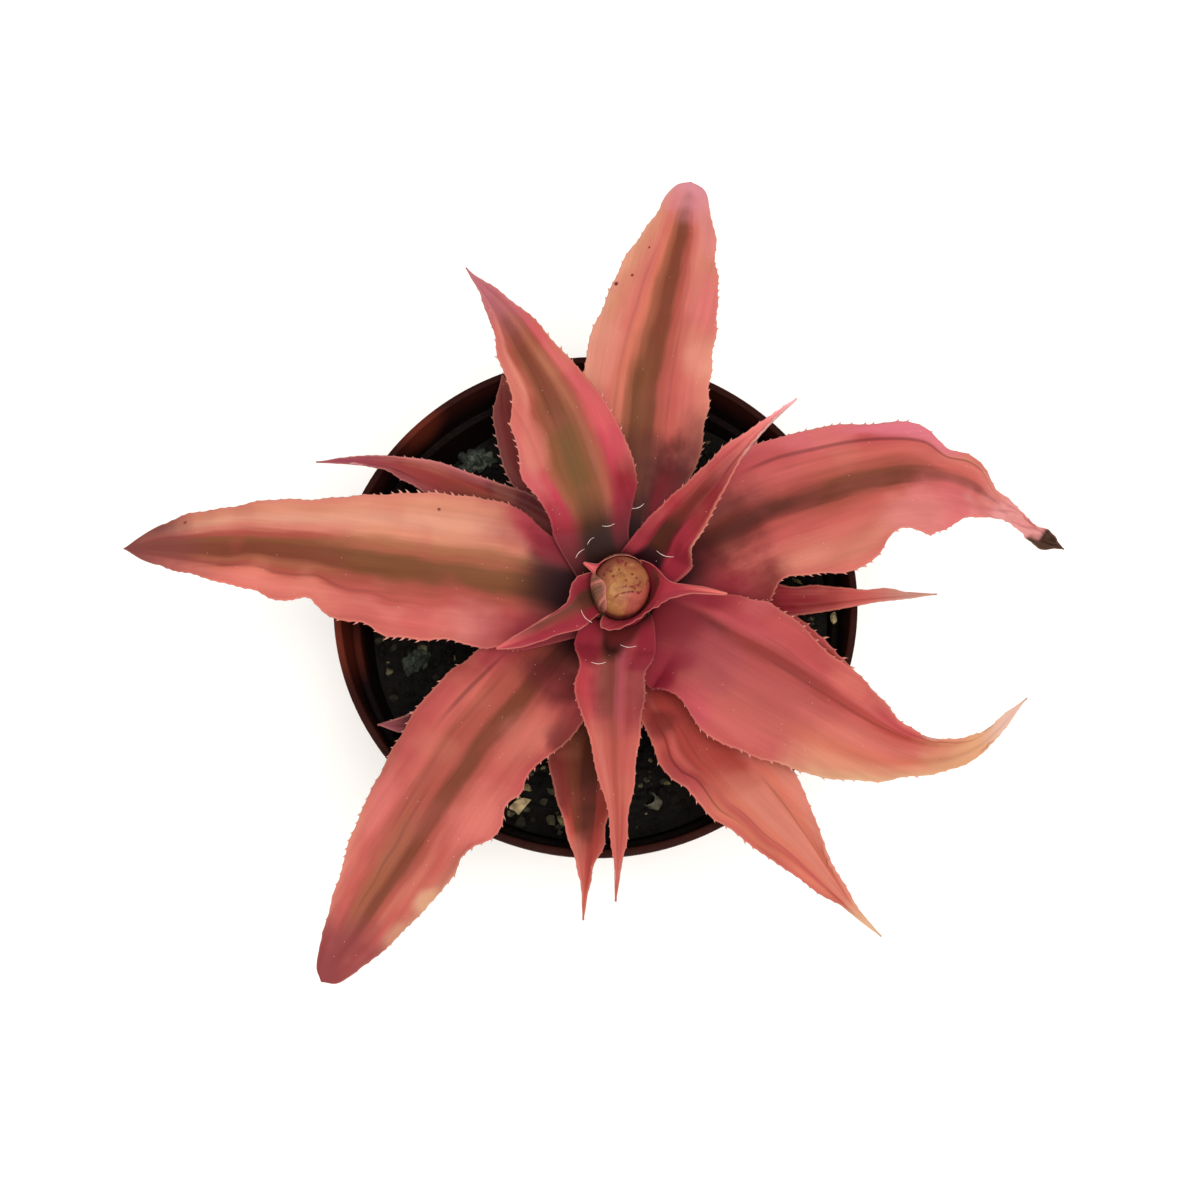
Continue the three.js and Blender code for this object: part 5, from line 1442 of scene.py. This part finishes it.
def makePot():
    bandBottom = pot["height"] - pot["band"]
    bandRadius = pot["bodyTop"] + pot["step"]
    underLip = pot["rim"] - pot["overhang"]
    wall, floor = pot["wall"], pot["floor"]
    profile = [
        (0, 0.5), (pot["base"] - 4, 0.5), (pot["base"] - 3.2, 0), (pot["base"], 0),
        (pot["bodyTop"], bandBottom), (bandRadius, bandBottom), (underLip, pot["height"] - pot["lip"]),
        (pot["rim"], pot["height"] - pot["lip"]), (pot["rim"], pot["height"]),
        (underLip - wall, pot["height"]), (bandRadius - wall, bandBottom + wall),
        (bodyRadius(bandBottom + wall) - wall, bandBottom + wall),
        (bodyRadius(floor) - wall, floor), (0, floor),
    ]
    points, faces = turnProfile(softened(profile, 0.5), pot["segments"])
    piece = makePiece("pot_shell", points, faces, [potMaterial()], replaces=("pot",))
    cutters = []
    for i in range(pot["holes"]):
        angle = i * 2 * math.pi / pot["holes"]
        x, y = pot["holeCircle"] * math.cos(angle), pot["holeCircle"] * math.sin(angle)
        bpy.ops.mesh.primitive_cylinder_add(
            vertices=40, radius=pot["holeRadius"] * mm, depth=3 * floor * mm,
            location=(x * mm, y * mm, floor / 2 * mm),
        )
        cutters.append(bpy.context.object)
        drill = piece.modifiers.new("drainHole", "BOOLEAN")
        drill.operation, drill.object, drill.solver = "DIFFERENCE", cutters[-1], "EXACT"
    drilled = bpy.data.meshes.new_from_object(piece.evaluated_get(bpy.context.evaluated_depsgraph_get()))
    piece.modifiers.clear()
    piece.data = drilled
    drilled.name = "pot_shell"
    for cutter in cutters:
        bpy.data.objects.remove(cutter)
    drilled.set_sharp_from_angle(angle=math.radians(40))


# The potting mix and what lies on it

mix = {
    "level": 75.0, "fall": 0.075, "mound": 3.0, "moundSpread": 18.0, "ripple": 0.8,
    "rings": 110, "spokes": 260, "grains": 1450, "grainSize": (0.8, 2.6), "grainReach": 46,
    "stops": {
        0: (9, 7, 5), 0.3: (16, 13, 10), 0.5: (38, 35, 27), 0.75: (70, 67, 50), 1: (112, 102, 72),
    },
}


def mixHeight(x, y):
    away = np.hypot(x - stem["x"], y - stem["y"])
    mound = mix["mound"] * np.exp(-((away / mix["moundSpread"]) ** 2))
    return mix["level"] + mix["fall"] * x + mound + mix["ripple"] * np.sin(x / 7) * np.cos(y / 9)


def ballShape(level):
    ball = bmesh.new()
    bmesh.ops.create_icosphere(ball, subdivisions=level, radius=0.5)
    points = np.array([v.co[:] for v in ball.verts])
    faces = [[v.index for v in f.verts] for f in ball.faces]
    ball.free()
    return points, faces


def lump(shape, dice, centre, size, turn=None, rough=0.22, tilt=0.5):  # one irregular crumb
    points = shape[0].copy()
    for _ in range(4):
        direction = dice.normal(size=3)
        direction /= np.linalg.norm(direction)
        wave = np.sin(points @ direction * dice.uniform(4, 9) + dice.uniform(0, 6))
        points *= 1 + rough * wave[:, None] * 0.6
    for _ in range(5):  # a few broken faces
        direction = dice.normal(size=3)
        direction /= np.linalg.norm(direction)
        over = np.maximum(points @ direction - dice.uniform(0.3, 0.42), 0)
        points -= over[:, None] * direction
    points = points * np.array(size)
    turn = dice.uniform(0, 2 * math.pi) if turn is None else math.radians(turn)
    lean = dice.normal(scale=tilt, size=2) if tilt else (0, 0)
    for axes, angle in (((1, 2), lean[0]), ((0, 2), lean[1]), ((0, 1), turn)):
        a, b = axes
        first, second = points[:, a].copy(), points[:, b].copy()
        points[:, a] = first * math.cos(angle) - second * math.sin(angle)
        points[:, b] = first * math.sin(angle) + second * math.cos(angle)
    return points + np.array(centre)


def crumbMaterial(name, stops, roughness, bump):
    material, surface = newMaterial(name, specular=0.16)
    mottle = noiseOf(objectPlace(), 700.0, 4.0, 0.65, flat=False)
    body = colourRamp(attributeOf("tint"), stops, "LINEAR")
    body = brighten(body, fade(mottle, 0.3, 0.7, 0.45, 1.5))
    dress(surface, body, roughness - 0.12 + mottle * 0.24, mottle, bump, 0.5)
    return material


def newHeap():
    return {"parts": [], "tints": [], "faces": [], "count": 0}


def pile(heap, points, faces, tint):  # one more closed shape on the heap
    heap["parts"].append(points)
    heap["tints"].append(np.broadcast_to(tint, len(points)))
    heap["faces"] += [[heap["count"] + c for c in face] for face in faces]
    heap["count"] += len(points)


def makeHeap(name, heap, material, replaces, crease):
    values = {"tint": np.concatenate(heap["tints"])}
    points = np.concatenate(heap["parts"])
    piece = makePiece(name, points, heap["faces"], [material], values=values, replaces=replaces)
    piece.data.set_sharp_from_angle(angle=math.radians(crease))


def mixBed(heap):  # the mix without its grains
    rings, spokes = mix["rings"], mix["spokes"]
    level = bodyRadius(mix["level"]) - pot["wall"] - clearance
    share = np.linspace(1, 0, rings, endpoint=False)[:, None] ** 0.8
    turn = ringTurns(spokes)
    x, y = level * share * np.cos(turn), level * share * np.sin(turn)
    crumbs = 0.5 * swell(x, y, 6, 61) + 0.35 * swell(x, y, 2.6, 62) + 0.22 * swell(x, y, 1.4, 63)
    z = mixHeight(x, y) + crumbs * smoothStep(1 - share, 0, 0.05)
    fit = (bodyRadius(z[0]) - pot["wall"] - clearance) / level
    x[0], y[0] = x[0] * fit, y[0] * fit
    bottom = pot["floor"] + clearance
    foot = bodyRadius(bottom) - pot["wall"] - clearance
    ring = np.stack([foot * np.cos(turn), foot * np.sin(turn), np.full(spokes, bottom)], 1)
    middle = [[0, 0, mixHeight(np.array(0.0), np.array(0.0))], [0, 0, bottom]]
    points = np.concatenate([ring, np.dstack([x, y, z]).reshape(-1, 3), middle])
    faces = tubeFaces(rings + 1, spokes, capped=False)
    last = rings * spokes
    for j in range(spokes):
        k = (j + 1) % spokes
        faces += [[last + j, last + k, last + spokes], [k, j, last + spokes + 1]]
    pile(heap, points, faces, np.clip(0.12 + 0.1 * swell(points[:, 0], points[:, 1], 9, 64), 0.0, 0.3))


def fillPot():
    heap = newHeap()
    mixBed(heap)
    dice = np.random.default_rng(5)
    shape = ballShape(2)
    for _ in range(mix["grains"]):
        size = dice.uniform(*mix["grainSize"]) * dice.uniform(0.6, 1)
        angle, reach = dice.uniform(0, 2 * math.pi), mix["grainReach"] * math.sqrt(dice.uniform(0.06, 1))
        x, y = reach * math.cos(angle), reach * math.sin(angle)
        flat = dice.uniform(0.4, 0.9)
        z = float(mixHeight(x, y)) + 0.25 * size * flat
        grain = lump(shape, dice, (x, y, z), (size * dice.uniform(0.9, 1.5), size, size * flat))
        tint = dice.uniform() ** 3
        if y < -28 and x < 4:  # a paler, browner patch at the front
            tint = min(1, tint + 0.45)
        pile(heap, grain, shape[1], tint)
    material = crumbMaterial("mixCrumb", mix["stops"], 0.85, 0.6)
    makeHeap("potting_mix_crumbs", heap, material, ("potting_mix",), 50)


looseBits = [
    {
        "name": "grit_clump_northwest", "x": -25.9, "y": 35.2, "size": (9.5, 6.0, 3.4), "turn": 36,
        "grains": 20, "tone": 0.75,
    },
    {
        "name": "grit_clump_west", "x": -37.4, "y": -9.6, "size": (8.5, 6.0, 3.0), "turn": 35,
        "grains": 15, "tone": 0.45,
    },
    {"name": "bark_chip_south", "x": -15.0, "y": -39.9, "size": (3.9, 3.2, 1.7), "turn": 40},
    {"name": "bark_curl_south", "x": 11.5, "y": -39.5, "size": (3.7, 2.3, 1.8), "turn": 62, "tip": 48},
    {"name": "bark_chip_east", "x": 48.9, "y": -2.6, "size": (1.5, 2.6, 1.4), "turn": -3, "ground": 81.0},
]


def pileGrit(heap, bit, ground, dice):
    sx, sy, sz = bit["size"]
    turn = math.radians(bit["turn"])
    shape = ballShape(3)
    for i in range(bit["grains"]):
        angle, reach = i * 2.4, math.sqrt((i + 0.3) / bit["grains"]) * 0.36  # a sunflower's spiral
        x, y = sx * reach * math.cos(angle), sy * reach * math.sin(angle)
        size = dice.uniform(0.5, 0.85) * sz
        top = sz * (1 - 1.6 * reach) - size * 0.5
        centre = (
            bit["x"] + x * math.cos(turn) - y * math.sin(turn),
            bit["y"] + x * math.sin(turn) + y * math.cos(turn),
            ground + max(0.4 * size, top * dice.uniform(0.7, 1)),
        )
        grain = lump(shape, dice, centre, (size * 1.15, size, size * 0.85), rough=0.3)
        pile(heap, grain, shape[1], dice.uniform() * bit["tone"])


def curlBark(heap, bit, ground):
    sx, sy, _ = bit["size"]
    steps, strips, thickness = 26, 9, 0.35
    arc = np.linspace(-0.2, math.pi + 0.5, steps)[:, None]
    width = np.linspace(-0.5, 0.5, strips)
    x, y = 0.36 * sx * np.cos(arc) * (1 + 0.1 * width), width * sy * (1 + 0.15 * np.sin(arc * 3))
    sheet = np.dstack(np.broadcast_arrays(x, y, 0.42 * sx * np.sin(arc) - 0.1))
    tip = math.radians(bit["tip"])
    tilt = np.array([[1, 0, 0], [0, math.cos(tip), math.sin(tip)], [0, -math.sin(tip), math.cos(tip)]])
    sheet = sheet @ tilt @ spinOf(math.radians(bit["turn"])) + np.array([bit["x"], bit["y"], ground + 0.3])
    points, _ = slabPoints(sheet, np.full((steps, strips), thickness))
    pile(heap, points, slabFaces(steps, strips)[0], 0.0)


def layLooseBits():
    grit = crumbMaterial("gritStone", {0: (30, 34, 30), 0.5: (62, 68, 60), 1: (108, 114, 98)}, 0.8, 0.5)
    stops = {0: (86, 82, 70), 0.5: (188, 168, 126), 1: (214, 206, 190)}
    bark = crumbMaterial("paleBark", stops, 0.75, 0.5)
    dice = np.random.default_rng(23)
    for bit in looseBits:
        heap = newHeap()
        ground = bit.get("ground", float(mixHeight(bit["x"], bit["y"])) + 0.2)
        if "grains" in bit:
            pileGrit(heap, bit, ground, dice)
        elif "tip" in bit:
            curlBark(heap, bit, ground)
        else:
            shape = ballShape(4)
            place = (bit["x"], bit["y"], ground + bit["size"][2] / 2)
            pile(heap, lump(shape, dice, place, bit["size"], bit["turn"], 0.3, 0), shape[1], 0.45)
        material, slot = (grit, "grit") if "grains" in bit else (bark, "bark")
        makeHeap(bit["name"] + "_detail", heap, material, (bit["name"],), 45)


makePot()
print("pot turned")
fillPot()
layLooseBits()
print("mix and loose bits laid")

# Floor

def layFloor():
    reach = 6.0
    corners = [(-reach, -reach, 0), (reach, -reach, 0), (reach, reach, 0), (-reach, reach, 0)]
    mesh = bpy.data.meshes.new("floor")
    mesh.from_pydata(corners, [], [(0, 1, 2, 3)])
    material, surface = newMaterial("paleFloor", roughness=0.9)
    surface["Base Color"].default_value = ink(studio["floorColour"])
    mesh.materials.append(material)
    floor = bpy.data.objects.new("floor", mesh)
    scene.collection.objects.link(floor)


layFloor()
print("floor laid")
